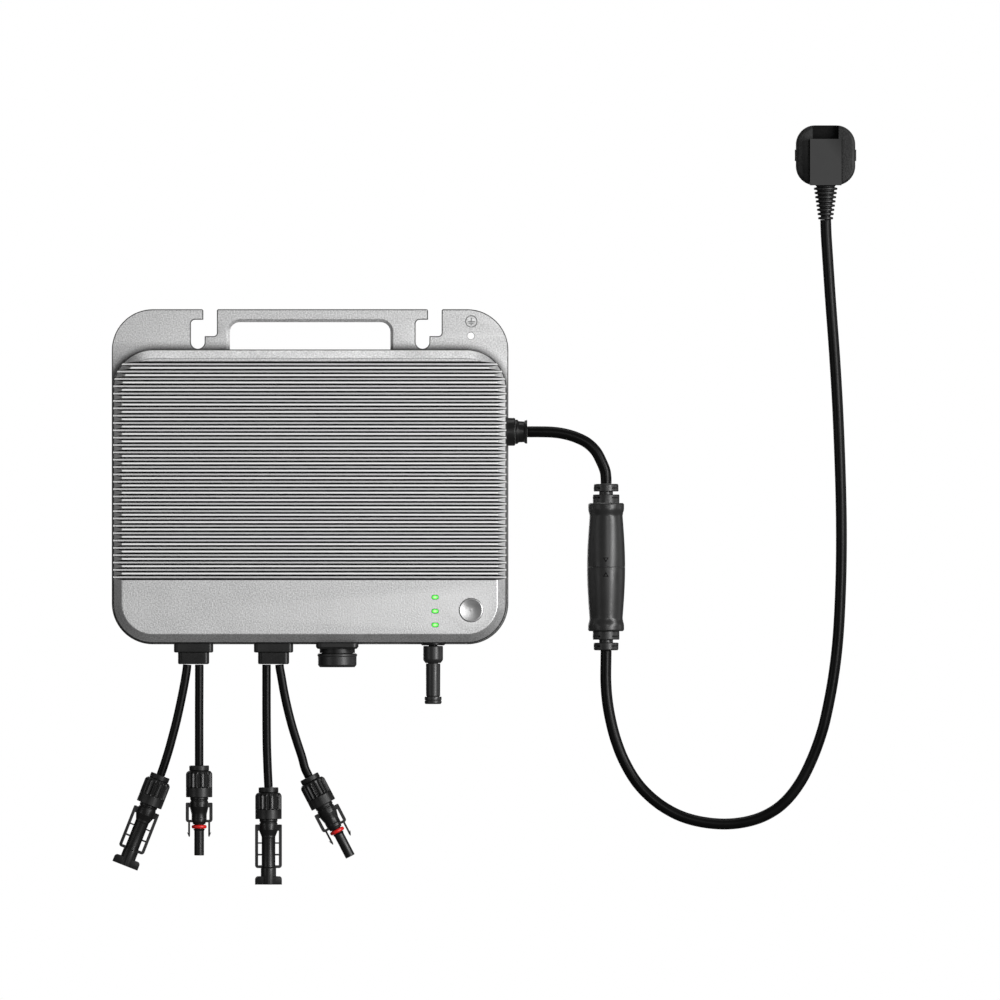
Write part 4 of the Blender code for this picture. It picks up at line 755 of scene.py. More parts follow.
def sign_tools(depth):
    """Cutters for the protective-earth symbol: a ring, a stem and three bars."""
    x, z = EARTH_SIGN
    line = 0.00032  # half width of an engraved line
    outer, inner = EARTH_SIGN_RADIUS, EARTH_SIGN_RADIUS - 2 * line
    reach = 0.0010
    ring = turned([(outer, -reach), (outer, reach), (inner, reach), (inner, -reach)], 0.0, 48)
    tools = [cutter(ring, (x, depth - reach, z), FACING_FRONT)]
    strokes = [(-line, -0.0002, line, 0.0026)]
    for level, half in ((-0.0002, 0.0025), (-0.0013, 0.0016), (-0.0024, 0.0007)):
        strokes.append((-half, level - line, half, level + line))
    for left, low, right, high in strokes:
        box = blocks(((left, -PLATE_THICKNESS - reach, low), (right, depth, high)))
        tools.append(cutter(box, (x, 0.0, z)))
    return tools


def make_plate():
    """Cast plate with slots, handle, earth hole and counterbored screw holes."""
    edge, bevel, front = PLATE_EDGE, HANDLE_BEVEL, -PLATE_THICKNESS
    depths = [(0.0, -edge), (-0.3 * edge, -0.3 * edge), (-edge, 0.0)]
    depths += [(front + edge, 0.0), (front + 0.3 * edge, -0.3 * edge), (front, -edge)]
    outer = [(y, grown(plate_outline(), shift)) for y, shift in depths]
    hole = [(y, circle(*EARTH_HOLE, EARTH_HOLE_RADIUS - 0.4 * shift)) for y, shift in depths]
    handle_steps = [(0.0, edge), (-0.3 * edge, 0.3 * edge), (-edge, 0.0)]
    handle_steps += [(front + bevel, 0.0), (front + 0.0002, bevel - 0.0003), (front, bevel)]
    handle = [(y, handle_outline(grow)) for y, grow in handle_steps]
    plate = link("back_plate_casting", prism([outer, hole, handle]), "plate")
    shank, head, head_seat, reach = 0.0023, 0.0039, -0.0030, 0.010
    profile = [(0.0, -reach), (shank, -reach), (shank, head_seat), (head, head_seat)]
    profile += [(head, reach), (0.0, reach)]
    carve(plate, [cutter(turned(profile, 0.0, 32), place, FACING_REAR) for place in SCREWS])
    sign_floor = front + 0.00035
    carve(plate, sign_tools(sign_floor))
    # painted shade: dark grey in the earth sign's engraving and a near-black outline on the front rim's
    # rounding
    plate.data.materials.append(finish_and_painted_light["mark"])
    plate.data.materials.append(finish_and_painted_light["edge"])
    for face in plate.data.polygons:
        x, y, z = face.center
        in_handle = abs(x) < HANDLE_HALF_WIDTH + 0.0030 and z < HANDLE_TOP + 0.0030
        # painted shade in the sign's engraving
        if abs(y - sign_floor) < 0.00005:
            face.material_index = 1
        # painted shade line on the front rim's rounding, outside the handle
        elif y < front + edge and abs(face.normal.y) < 0.95 and not in_handle:
            face.material_index = 2
    shade(plate.data)
    settle(plate, "inverter", "back_plate")


make_plate()


# --- Housing --------------------------------------------------------------------

BEYOND = 0.010  # how far a cutter goes past the surface that it opens


def housing_outline(inset):
    """Front outline of the housing, moved in by inset."""
    half, corner = HOUSING_HALF_WIDTH - inset, HOUSING_CORNER - inset
    return rounded(-half, half, HOUSING_BOTTOM + inset, HOUSING_TOP - inset, corner, 18)


def arc_points(before, corner, after, reach, steps=4):
    """Points that round a corner of a two-value path over reach."""
    corner = Vector(corner)
    start = corner + (Vector(before) - corner).normalized() * reach
    end = corner + (Vector(after) - corner).normalized() * reach
    return [tuple(point) for point in curve_between(start, corner, end, steps)]


def groove_section(level):
    """Section of one groove as (y, z): rounded fin tips at its mouth, a filleted floor."""
    mouth, floor, tip = GROOVE_MOUTH / 2, GROOVE_FLOOR / 2, FIN_ROUND
    front = HOUSING_FRONT
    bottom = front + GROOVE_DEPTH
    half = [(front - 0.0010, mouth + tip)]
    half += arc_points((front - 0.00002, mouth + tip), (front, mouth), (bottom, floor), tip)
    half += arc_points((front, mouth), (bottom, floor), (bottom, 0.0), tip, 3)
    lower = [(y, level - z) for y, z in half]
    upper = [(y, level + z) for y, z in reversed(half)]
    return lower + upper


def groove_tools():
    """Cutters for the grooves, every other one in each set so that they never touch."""
    reach = HOUSING_HALF_WIDTH + BEYOND
    tools = []
    for start in (0, 1):
        bars = []
        for k in range(start, GROOVE_COUNT, 2):
            section = groove_section(GROOVE_TOP - k * GROOVE_PITCH)
            bars.append([[(x, y, z) for y, z in section] for x in (-reach, reach)])
        tools.append(cutter(loft(*bars)))
    return tools


def housing_tools():
    """Cutters for the housing's pocket, seal rebate and holes."""
    bottom, inside = -0.1250, -0.1080  # ends of the holes in the lower wall
    entry_width, entry_depth = 0.0093, 0.0048  # halves
    pocket = rounded(-0.1240, 0.1240, -0.1060, -0.0760, 0.0120)
    tools = [cutter(through(pocket, CAVITY_FLOOR + 0.0010, PANEL_FLOOR))]
    tools.append(cutter(through(housing_outline(0.0020), 0.0, HOUSING_REAR - 0.0018)))
    x, z = BUTTON
    tools.append(cutter(rod(BUTTON_RADIUS + GAP, 0.0300, 0.0500), (x, 0.0, z), FACING_FRONT))
    for level in LED_LEVELS.values():
        tools.append(cutter(through(led_outline(GAP), -0.0300, -0.0500), (LED_X, 0.0, level)))
    for x in PV_ENTRIES.values():
        outline = centred(entry_width, entry_depth, 0.0030, 10)
        mesh = loft([at_level(outline, z) for z in (bottom, inside)])
        tools.append(cutter(mesh, (x, FITTING_Y, 0.0)))
    for x, radius in ((PORT_X, 0.0090), (ANTENNA_X, 0.0053)):
        tools.append(cutter(rod(radius, bottom, inside), (x, FITTING_Y, 0.0)))
    tools.append(cutter(rod(0.0078, 0.1280, 0.1450), (0.0, FITTING_Y, GLAND_Z), FACING_RIGHT))
    return tools


def paint_housing(housing):
    """Paint light and shade on the housing with copies of the casting: painted shade on the shoulder's arc
    and the grooves' flanks, a painted highlight on the fin tops, painted light on the grooves' floors.
    """
    for key in ("floor", "flank", "fin_top", "edge"):
        housing.data.materials.append(finish_and_painted_light[key])
    # indices of the painted copies: floors painted light, flanks and the shoulder's line painted shade, fin
    # tops painted highlight
    floor, flank, fin_top, edge = 1, 2, 3, 4
    shoulder = HOUSING_FRONT + CHAMFER_DEPTH
    bottom = HOUSING_FRONT + GROOVE_DEPTH
    half_pitch = GROOVE_PITCH / 2
    lowest = GROOVE_TOP - (GROOVE_COUNT - 1) * GROOVE_PITCH - half_pitch
    side_lean, chamfer_lean = 0.03, 0.61  # how far the faces beside the shoulder's arc turn to the front
    for face in housing.data.polygons:
        _, y, z = face.center
        lean = abs(face.normal.y)
        # painted shade: a near-black line on the shoulder's rounding
        if abs(y - shoulder) < EDGE_ROUND and side_lean < lean < chamfer_lean:
            face.material_index = edge
        if not lowest < z < GROOVE_TOP + half_pitch:
            continue
        phase = (GROOVE_TOP - z) / GROOVE_PITCH
        off_centre = abs(phase - round(phase)) * GROOVE_PITCH
        on_fins = abs(phase - (GROOVE_COUNT - 1) / 2) < GROOVE_COUNT / 2 - 0.4
        # painted highlight: near-white fin tops
        if y < HOUSING_FRONT + 0.0002 and on_fins and off_centre > GROOVE_MOUTH / 2 and lean > 0.5:
            face.material_index = fin_top
        elif HOUSING_FRONT < y < bottom + 0.0001 and off_centre < GROOVE_MOUTH / 2 + FIN_ROUND:
            # painted light on the groove floors, painted shade on the flanks
            if y > bottom - 0.0001 and off_centre < GROOVE_FLOOR / 2 - FIN_ROUND:
                face.material_index = floor
            elif abs(face.normal.z) > 0.4 and abs(face.normal.x) < 0.3:
                face.material_index = flank


def make_housing():
    """Cast housing: chamfered box with rounded edges, deep fins, hollow behind."""
    shoulder = (HOUSING_FRONT + CHAMFER_DEPTH, 0.0)
    rim = (HOUSING_FRONT, CHAMFER_WIDTH)
    path = [(HOUSING_REAR, 0.0003), (HOUSING_REAR - 0.0003, 0.0)]
    path += arc_points((HOUSING_REAR, 0.0), shoulder, rim, EDGE_ROUND)
    path += arc_points(shoulder, rim, (HOUSING_FRONT, CHAMFER_WIDTH + 0.01), EDGE_ROUND / 2)
    rings = [at_depth(housing_outline(inset), y) for y, inset in path]
    housing = link("housing_casting", loft(rings), "casting")
    carve(housing, groove_tools())
    carve(housing, [cutter(through(housing_outline(WALL), 0.0, CAVITY_FLOOR))])
    boss = (0.0050, CAVITY_FLOOR - 0.0010, HOUSING_REAR - 0.0023, 32)
    carve(housing, [cutter(rod(*boss), place, FACING_REAR) for place in SCREWS], "UNION")
    tapped = (0.0023, -0.0170, 0.0, 24)
    carve(housing, [cutter(rod(*tapped), place, FACING_REAR) for place in SCREWS])
    carve(housing, housing_tools())
    paint_housing(housing)
    shade(housing.data)
    settle(housing, "inverter", "fin_housing")


def led_outline(grow):
    """Oval outline of a light pipe about its own centre."""
    half_height = LED_HALF_HEIGHT + grow
    return centred(LED_HALF_WIDTH + grow, half_height, half_height - 0.00002)


def make_lenses():
    """Domed light pipes."""
    front = HOUSING_FRONT - 0.0002
    for name, level in LED_LEVELS.items():
        rings = [(PANEL_FLOOR + 0.0030, led_outline(0.0)), (front + 0.0004, led_outline(0.0))]
        for shrink, rise in ((0.0001, 0.0002), (0.0004, 0.0001), (0.0009, 0.00003)):
            rings.append((front + rise, grown(led_outline(0.0), -shrink)))
        mesh = loft([at_depth(ring, y) for y, ring in rings])
        lens = link(f"light_pipe_{name}", mesh, "lens", (LED_X, 0.0, level))
        settle(lens, "inverter", f"led_lens_{name}")


def make_button():
    """Button with a smooth concave dish inside a narrow rim, its skirt and its stem."""
    x, z = BUTTON
    face = -HOUSING_FRONT + 0.0004
    dish = 0.0009
    rim = 0.0074
    stem, stem_end = 0.0022, 0.0216
    skirt, skirt_front = 0.0097, -PANEL_FLOOR - 0.0004
    skirt_rear = skirt_front - 0.0012
    profile = [(0.0, face - dish)]
    for k in range(1, 11):
        profile.append((rim * k / 10, face - dish * (1 - (k / 10) ** 2) - 0.0001))
    profile += [(rim + 0.0003, face), (BUTTON_RADIUS, face - 0.0002), (BUTTON_RADIUS, skirt_front)]
    profile += [(skirt, skirt_front), (skirt, skirt_rear), (stem, skirt_rear)]
    profile += [(stem, stem_end), (0.0, stem_end)]
    mesh = turned(profile, 0.00015, 96)
    button = link("power_button_cap", mesh, "button", (x, 0.0, z), FACING_FRONT)
    settle(button, "power_button", "power_button")


def make_spring():
    """Coil spring behind the button, which shortens as the button goes in."""
    x, z = BUTTON
    wire, radius = 0.00035, 0.0042
    rear, front = -0.02065, -0.03625
    turns, steps = 4, 24
    points = []
    for k in range(turns * steps + 1):
        angle = tau * k / steps
        y = rear + (front - rear) * k / (turns * steps)
        points.append(Vector((x + radius * cos(angle), y, z + radius * sin(angle))))
    spring = link("button_coil", tube_mesh(points, wire, 12), "steel")
    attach(spring, "inverter")
    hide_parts("button_spring")
    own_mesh(spring)


make_housing()
make_lenses()
make_button()
make_spring()


# --- Fittings under the housing ---------------------------------------------------

INSIDE = 0.0090  # how far a fitting reaches into the housing


def make_pv_entries():
    """Strain reliefs with a rounded flange above a smaller body."""
    top = FITTING_TOP
    seat = top + TOUCH
    stub = centred(0.0090, 0.0045, 0.0027)
    flange = centred(0.0138, 0.0085, 0.0030)
    body = centred(0.01095, 0.0068, 0.0030)
    steps = [(stub, 0.0, top + INSIDE), (stub, 0.0, seat)]
    steps += [(flange, 0.0002, seat), (flange, 0.0, seat - 0.0003), (flange, 0.0, top - 0.0056)]
    steps += [(flange, 0.0003, top - 0.0061), (flange, 0.0008, top - 0.0064)]
    steps += [(body, 0.0, top - 0.0064), (body, 0.0, top - 0.0138)]
    steps += [(body, 0.0003, top - 0.0143), (body, 0.0009, top - 0.0146)]
    rings = [at_level(grown(outline, -shrink) if shrink else outline, z) for outline, shrink, z in steps]
    for name, x in PV_ENTRIES.items():
        entry = link(f"{name}_moulding", loft(rings), "rubber", (x, FITTING_Y, 0.0))
        settle(entry, "inverter", name)


def make_comms_port():
    """Threaded port with its square flange, and the screw cap with its lip."""
    top = FITTING_TOP
    neck = top - 0.0038
    cap_top, cap_low = -0.1246, -0.1343
    thread, root, thread_end, pitch = 0.0110, 0.0106, -0.1302, 0.0012
    profile = [(0.0, top + INSIDE), (0.0087, top + INSIDE), (0.0087, top - 0.0010)]
    profile += [(0.0125, top - 0.0010), (0.0125, cap_top + GAP), (thread, cap_top + GAP)]
    level = cap_top
    while level > thread_end + pitch:
        profile += [(thread, level), (root, level - pitch / 3), (thread, level - pitch * 2 / 3)]
        level -= pitch
    profile += [(thread, thread_end), (0.0080, thread_end), (0.0080, neck), (0.0, neck)]
    place = (PORT_X, FITTING_Y, 0.0)
    port = link("comms_port_body", turned(profile, 0.0001), "black", place)
    outline = centred(0.01495, 0.01495, 0.0040)
    rings = [at_level(grown(outline, -0.0002), top + TOUCH), at_level(outline, top)]
    rings += [at_level(outline, neck + 0.0014), at_level(grown(outline, -0.0012), neck)]
    carve(port, [cutter(loft(rings), place)], "UNION")
    shade(port.data)
    settle(port, "inverter", "comms_port")
    profile = [(0.0, cap_low + 0.0018), (0.0114, cap_low + 0.0018), (0.0114, cap_top)]
    profile += [(0.0134, cap_top), (0.0140, cap_top - 0.0006), (0.0140, cap_top - 0.0018)]
    profile += [(0.0136, cap_top - 0.0022), (0.0136, cap_low + 0.0016), (0.0126, cap_low + 0.0004)]
    profile += [(0.0124, cap_low), (0.0, cap_low)]
    cap = link("comms_cap_shell", turned(profile, 0.0002, 96), "cap", place)
    settle(cap, "comms_cap", "comms_cap")


def make_antenna():
    """Bulkhead connector, smooth nut and stub antenna with its end cap."""
    top = FITTING_TOP
    seat = top + TOUCH
    nut_top, nut_low = -0.11935, -0.1314
    nose, nose_end = 0.00305, nut_top - 0.0070
    place = (ANTENNA_X, FITTING_Y, 0.0)
    profile = [(0.0, top + INSIDE), (0.0050, top + INSIDE), (0.0050, seat), (0.0085, seat)]
    profile += [(0.0085, top - 0.0008), (0.0076, nut_top + 0.0004), (nose, nut_top + 0.0004)]
    profile += [(nose, nose_end), (0.0, nose_end)]
    base = link("antenna_bulkhead", turned(profile, 0.0002), "black", place)
    settle(base, "inverter", "antenna_base")
    chamber_top = nose_end - GAP  # room in the nut for the antenna's collar
    chamber_low = chamber_top - 0.0026
    bore, nut, neck_bore, chamber = 0.0034, 0.0070, 0.00395, 0.00495
    profile = [(bore, nut_top), (nut - 0.0004, nut_top), (nut, nut_top - 0.0005)]
    profile += [(nut, nut_low + 0.0026), (nut - 0.0004, nut_low + 0.0016), (0.0053, nut_low)]
    profile += [(neck_bore, nut_low), (neck_bore, chamber_low), (chamber, chamber_low)]
    profile += [(chamber, chamber_top), (bore, chamber_top)]
    sleeve = link("antenna_nut_sleeve", turned(profile, 0.0002), "coupler", place)
    settle(sleeve, "antenna_nut", "antenna_nut")
    shoulder = nut_low - 0.00035
    tip, end = -0.1551, -0.1603  # levels of the end cap
    collar, neck, rod_end, cap = 0.0046, 0.0036, 0.0046, 0.0060
    profile = [(0.0, chamber_top - GAP), (collar, chamber_top - GAP), (collar, chamber_low + GAP)]
    profile += [(neck, chamber_low + GAP), (neck, shoulder), (0.0051, shoulder)]
    profile += [(0.0050, tip + 0.0006), (rod_end, tip + 0.0003), (rod_end, tip), (cap - 0.0001, tip)]
    profile += [(cap, tip - 0.0006), (cap, tip - 0.0022), (cap - 0.0003, tip - 0.0024)]
    profile += [(cap - 0.0003, tip - 0.0028), (cap, tip - 0.0030), (cap, end + 0.0008)]
    profile += [(cap - 0.0007, end), (0.0, end)]
    whip = link("antenna_stub", turned(profile, 0.0002), "coupler", place)
    settle(whip, "antenna", "antenna_whip")


def make_gland():
    """Gland body with its flange, and the waisted clamping nut."""
    place = (0.0, FITTING_Y, GLAND_Z)
    wall = HOUSING_HALF_WIDTH + GAP
    seat = wall - TOUCH
    face = wall + 0.0060
    nut = face + GAP - TOUCH
    stub, flange = 0.0075, 0.00985
    profile = [(0.0, wall - 0.0110), (stub, wall - 0.0110), (stub, seat), (flange, seat)]
    profile += [(flange, face - 0.0006), (0.0091, face), (0.0, face)]
    body = link("gland_flange", turned(profile, 0.0004), "black", place, FACING_RIGHT)
    settle(body, "inverter", "gland_body")
    profile = [(0.0, nut), (0.0086, nut), (0.0086, nut + 0.0014), (0.0075, nut + 0.0024)]
    profile += [(0.0073, GLAND_END - 0.0022), (0.0082, GLAND_END - 0.0016)]
    profile += [(0.0084, GLAND_END), (0.0, GLAND_END)]
    sleeve = link("gland_clamp_nut", turned(profile, 0.0004), "black", place, FACING_RIGHT)
    settle(sleeve, "inverter", "gland_nut")


make_pv_entries()
make_comms_port()
make_antenna()
make_gland()


# --- Inline coupler ---------------------------------------------------------------

BARREL_LENGTH = COUPLER_TOP - COUPLER_SEAM
COLLAR_END = 0.0036
NECK_END = 0.0094
BARREL_NECK = 0.0117
MOUTH = 0.00003 - BARREL_LENGTH  # level of a half's open end below its collar
SOCKET_DEPTH = 0.0230
SPIGOT_LENGTH = 0.0220
PIN_CIRCLE = 0.0048


def barrel_profile():
    """Outside of a coupler half from its collar to the seam."""
    profile = [(0.0119, 0.0), (0.0127, -0.0009), (0.0127, -COLLAR_END)]
    for k in range(1, 8):
        swell = 0.5 + 0.5 * cos(pi * k / 8)
        profile.append((BARREL_NECK + 0.0010 * swell, -COLLAR_END - (NECK_END - COLLAR_END) * k / 8))
    for k in range(13):
        z = -NECK_END - (BARREL_LENGTH - NECK_END - 0.00003) * k / 12
        profile.append((BARREL_NECK + 0.00175 * sin(tau / 4 * k / 12), z))
    return profile


def relief_profile():
    """Core of a coupler's strain relief with its two rings."""
    high, seat = COUPLER_RELIEF, GAP - TOUCH
    core, lower_ring = 0.0049, 0.0094
    profile = [(0.0, high), (0.0079, high), (0.0087, high - 0.0006), (0.0088, high - 0.0050)]
    profile += [(0.0084, high - 0.0054), (core, high - 0.0054), (core, high - 0.0075)]
    profile += [(0.0091, high - 0.0075), (lower_ring, high - 0.0079), (lower_ring, seat), (0.0, seat)]
    return profile


def relief_tools():
    """Side pockets in the relief's rings, in front and behind, with a thin web between them."""
    web, half_height, inner, outer = 0.0005, 0.0006, 0.0042, 0.0120
    tools = []
    for level in (COUPLER_RELIEF - 0.0030, COUPLER_RELIEF - 0.0098):
        for left, right in ((-outer, -inner), (inner, outer)):
            for near, far in ((-outer, -web), (web, outer)):
                tools.append(blocks(((left, near, level - half_height), (right, far, level + half_height))))
    return tools


def triangle_tool(depth):
    """Ring-shaped triangle that engraves the mating mark, pointing down."""
    outer = [(0.0021, 0.00125), (-0.0021, 0.00125), (0.0, -0.0021)]
    inner = [(0.0010, 0.00072), (-0.0010, 0.00072), (0.0, -0.00095)]
    return prism([[(0.0, outline), (-depth, outline)] for outline in (outer, inner)])


def pin_hole_tools(tip):
    """Cutters for the three contacts' holes in the spigot."""
    low, high = COUPLER_BOTTOM - tip - 0.0150, COUPLER_BOTTOM - tip + 0.0010
    tools = []
    for angle in (tau / 12, tau * 5 / 12, tau * 3 / 4):
        x, y = PIN_CIRCLE * cos(angle), PIN_CIRCLE * sin(angle)
        tools.append(cutter(rod(0.0016, low, high, 32), (COUPLER_X + x, FITTING_Y + y, 0.0)))
    return tools


def make_coupler_half(kind, end, body, level, up):
    """One shell with its notches and mark, and its strain relief; up is 1 or -1."""
    turn = (0.0 if up > 0 else tau / 2, 0.0, 0.0)
    place = (COUPLER_X, FITTING_Y, level)
    tip = MOUTH - GAP - SPIGOT_LENGTH
    radius, inner_end = (0.0096, MOUTH + SOCKET_DEPTH) if kind == "socket" else (0.0092, tip)
    profile = [(0.0, 0.0)] + barrel_profile() + [(radius, MOUTH), (radius, inner_end), (0.0, inner_end)]
    shell = link(f"coupler_{kind}_barrel", turned(profile, 0.0003, 96), "coupler", place, turn)
    tools = []
    for side in (-1, 1):
        spot = (COUPLER_X + side * 0.0142, FITTING_Y, level - up * 0.0072)
        tools.append(cutter(rod(0.0022, -0.0060, 0.0060, 32), spot, FACING_FRONT))
    centre = (COUPLER_X - 0.0002, FITTING_Y - MARK_FLOOR, COUPLER_SEAM + up * 0.0055)
    tools.append(cutter(triangle_tool(0.0030), centre, (0.0, turn[0], 0.0)))
    if kind == "spigot":
        tools += pin_hole_tools(tip)
    carve(shell, tools)
    # painted shade: the engraved triangle's floors get the near-black material
    shell.data.materials.append(finish_and_painted_light["flank"])
    for face in shell.data.polygons:
        x, y, z = face.center
        if MARK_FLOOR - 0.0001 < (x * x + y * y) ** 0.5 < MARK_FLOOR + 0.0006 and z < MOUTH + 0.0090:
            face.material_index = 1
    shade(shell.data)
    settle(shell, body, f"coupler_{kind}_shell")
    relief = link(f"coupler_relief_{end}_rings", turned(relief_profile(), 0.0003), "coupler", place, turn)
    carve(relief, [cutter(tool, place, turn) for tool in relief_tools()])
    shade(relief.data)
    settle(relief, body, f"coupler_relief_{end}")


make_coupler_half("socket", "upper", "inverter", COUPLER_TOP, 1)
make_coupler_half("spigot", "lower", "coupler_spigot", COUPLER_BOTTOM, -1)


# --- Mains plug -------------------------------------------------------------------

PLUG_FRONT = -0.0470
PLUG_REAR = -0.0365
GRIP_HALF_WIDTH = 0.0111
NOSE_RADIUS = 0.0184
NOSE_FACE = 0.0195  # distance of the nose's end from the wall
RELIEF_TOP = 0.2047
PIN_LENGTH = 0.0190


def plug_rings():
    """Rings of the plug's body from its rear to its rounded front."""
    outline = centred(0.0209, 0.0211, 0.0135, 12)
    rounding = 0.0024
    rings = [at_depth(grown(outline, -0.0004), PLUG_REAR), at_depth(outline, PLUG_REAR - 0.0004)]
    rings.append(at_depth(outline, PLUG_FRONT + rounding))
    for k in range(1, 6):
        angle = tau / 4 * k / 5
        ring = grown(outline, -rounding * (1 - cos(angle)))
        rings.append(at_depth(ring, PLUG_FRONT + rounding * (1 - sin(angle))))
    return rings


def make_plug_shell():
    """Plug body with its nose, side tabs, grip block and recess."""
    place = (PLUG_X, 0.0, PLUG_Z)
    shell = link("mains_plug_shell", loft(plug_rings()), "plug", place)
    inside = 0.0375
    profile = [(0.0, NOSE_FACE), (NOSE_RADIUS, NOSE_FACE), (NOSE_RADIUS, inside), (0.0, inside)]
    tabs = [((x, -0.0430, -0.0040), (x + 0.0026, -0.0375, 0.0040)) for x in (-0.0216, 0.0190)]
    nose = cutter(turned(profile, 0.0006), place, FACING_FRONT)
    carve(shell, [nose, cutter(blocks(*tabs), place)], "UNION")
    tools = [cutter(blocks(((-0.0092, -0.0500, 0.0100), (0.0092, -0.0415, 0.0230))), place)]
    for x in (-GRIP_HALF_WIDTH - 0.0006, GRIP_HALF_WIDTH):
        line = blocks(((x, -0.0500, -0.0225), (x + 0.0006, -0.0462, 0.0113)))
        tools.append(cutter(line, place))
    for turn in (tau / 2, 0.0):
        channel = blocks(((-0.0032, -0.0355, 0.0172), (0.0032, 0.0, 0.0300)))
        tools.append(cutter(channel, place, (0.0, turn, 0.0)))
    carve(shell, tools)
    grip = blocks(((-GRIP_HALF_WIDTH, -0.0560, -0.0212), (GRIP_HALF_WIDTH, -0.0440, 0.0113)))
    carve(shell, [cutter(grip, place)], "UNION")
    shell.data.materials.append(finish_and_painted_light["grip"])
    # painted shade: the recess above the grip gets the near-black material
    shell.data.materials.append(finish_and_painted_light["flank"])
    for face in shell.data.polygons:
        x, y, z = face.center
        if y < PLUG_FRONT - 0.0002:
            face.material_index = 1
        # painted shade in the recess above the grip
        elif abs(x) < 0.0093 and z > 0.0099 and -0.0466 < y < -0.0410:
            face.material_index = 2
    soften_edges(shell, 0.00045, 3)
    settle(shell, "inverter", "mains_plug_body")


def make_plug_relief():
    """Strain relief with eight ribs that grow thinner downwards."""
    count = 8
    groove = 0.0018
    pitch = (RELIEF_TOP - PLUG_RELIEF_BOTTOM) / count
    profile = [(0.0, 0.2056), (0.0078, 0.2056)]
    for k in range(count):
        outer = 0.0083 - 0.0030 * k / (count - 1)
        start = 0.06 if k == 0 else 0.05
        root = outer - groove
        for radius, share in ((root, start), (root, 0.30), (outer, 0.42), (outer, 0.88), (root, 0.98)):
            profile.append((radius, RELIEF_TOP - pitch * (k + share)))
    profile.append((0.0, PLUG_RELIEF_BOTTOM))
    place = (PLUG_X, PLUG_RELIEF_Y, 0.0)
    relief = link("mains_plug_relief_ribs", turned(profile, 0.0003), "rubber", place)
    settle(relief, "inverter", "mains_plug_relief")


def make_plug_pins():
    """The two round pins, which taper at their ends."""
    face = NOSE_FACE - GAP + TOUCH
    end = face - PIN_LENGTH
    neck, pin = 0.0022, 0.0024
    profile = [(0.0, face), (neck, face), (neck, end + 0.0090), (pin, end + 0.0088)]
    profile += [(pin, end + 0.0012), (0.0016, end), (0.0, end)]
    for x, name in ((PLUG_X - 0.0095, "plug_pin_left"), (PLUG_X + 0.0095, "plug_pin_right")):
        made = link(f"{name}_round", turned(profile, 0.0004, 48), "contact", (x, 0.0, PLUG_Z), FACING_FRONT)
        settle(made, "inverter", name)


make_plug_shell()
make_plug_relief()
make_plug_pins()


# --- Photovoltaic connectors ------------------------------------------------------

# Rings of the fluted nut: radius, distance from its top, depth of the flutes
NUT_RINGS = [
    (0.0066, 0.0, 0.0), (0.0070, 0.0004, 0.0), (0.0070, 0.0033, 0.0), (0.0066, 0.0037, 0.0),
    (0.0078, 0.0038, 0.0), (0.0086, 0.0046, 0.0), (0.0092, 0.0057, 0.0008), (0.0093, 0.0064, 0.0010),
    (0.0093, 0.0150, 0.0010), (0.0093, 0.0158, 0.0002), (0.0093, 0.0160, 0.0), (0.0093, 0.0221, 0.0),
    (0.0090, 0.0224, 0.0), (0.0054, 0.0224, 0.0), (0.0054, 0.0122, 0.0),
]
FLUTES = 18
FLUTE_WIDTH = 2.2  # above 1 the flutes' floors are flat and their sides steep
# Cone that both connector bodies share, as (radius, height)
CONE = [
    (0.0, -0.0125), (0.0050, -0.0125), (0.0050, -0.02243), (0.0064, -0.02243),
    (0.0064, -0.0240), (0.0060, -0.0243), (0.0060, -0.0250), (0.0064, -0.0253),
]
SOCKET_TUBE = [
    (0.0064, -0.0300), (0.0052, -0.0340), (0.0052, -0.0356), (0.0047, -0.0358),
    (0.0047, -0.0562), (0.0054, -0.0570), (0.0054, -0.0686), (0.0, -0.0686),
]
SOCKET_BORE = [
    (0.0, -0.0440), (0.00385, -0.0440), (0.00385, -0.0682),
    (0.0043, -0.0687), (0.0043, -0.0700), (0.0, -0.0700),
]
SOCKET_WINDOWS = [(0.0307, 0.0388), (0.0398, 0.0469), (0.0481, 0.0550)]
PLUG_BARREL = [
    (0.0064, -0.0292), (0.0052, -0.0330), (0.0049, -0.0345), (0.0049, -0.0372), (0.0051, -0.0376),
    (0.0051, -0.0397), (0.0047, -0.0400), (0.0044, -0.0414), (0.00345, -0.0415), (0.00345, -0.0449),
    (0.0042, -0.0449), (0.0036, -0.0458), (0.00345, -0.0460), (0.00345, -0.0632), (0.0032, -0.0635),
    (0.0019, -0.0635), (0.0019, -0.0500), (0.0, -0.0500),
]
LATCH_ARM = [
    (0.0064, -0.0391), (0.0064, -0.0494), (0.0068, -0.0505), (0.00725, -0.0503),
    (0.0085, -0.0472), (0.0082, -0.0471), (0.00776, -0.0478), (0.00776, -0.0391),
]
SEAL_RING = [
    (0.00375, -0.0419), (0.0046, -0.0419), (0.0052, -0.0424), (0.00533, -0.0432),
    (0.0052, -0.0440), (0.0046, -0.0445), (0.00375, -0.0445),
]
WING_HALF_WIDTH = 0.00945
WING_HALF_DEPTH = 0.0024
CORE_HALF_WIDTH = 0.0044


def nut_mesh():
    """Nut with a plain collar, deep flutes and a smooth ring."""
    rings = []
    for radius, drop, depth in NUT_RINGS:
        ring = []
        for x, y in circle(0.0, 0.0, 1.0, 10 * FLUTES):
            wave = 0.5 - 0.5 * cos(FLUTES * atan2(y, x))
            reach = radius - depth * min(1.0, FLUTE_WIDTH * wave)
            ring.append((reach * x, reach * y, -drop))
        rings.append(ring)
    return loft(rings)


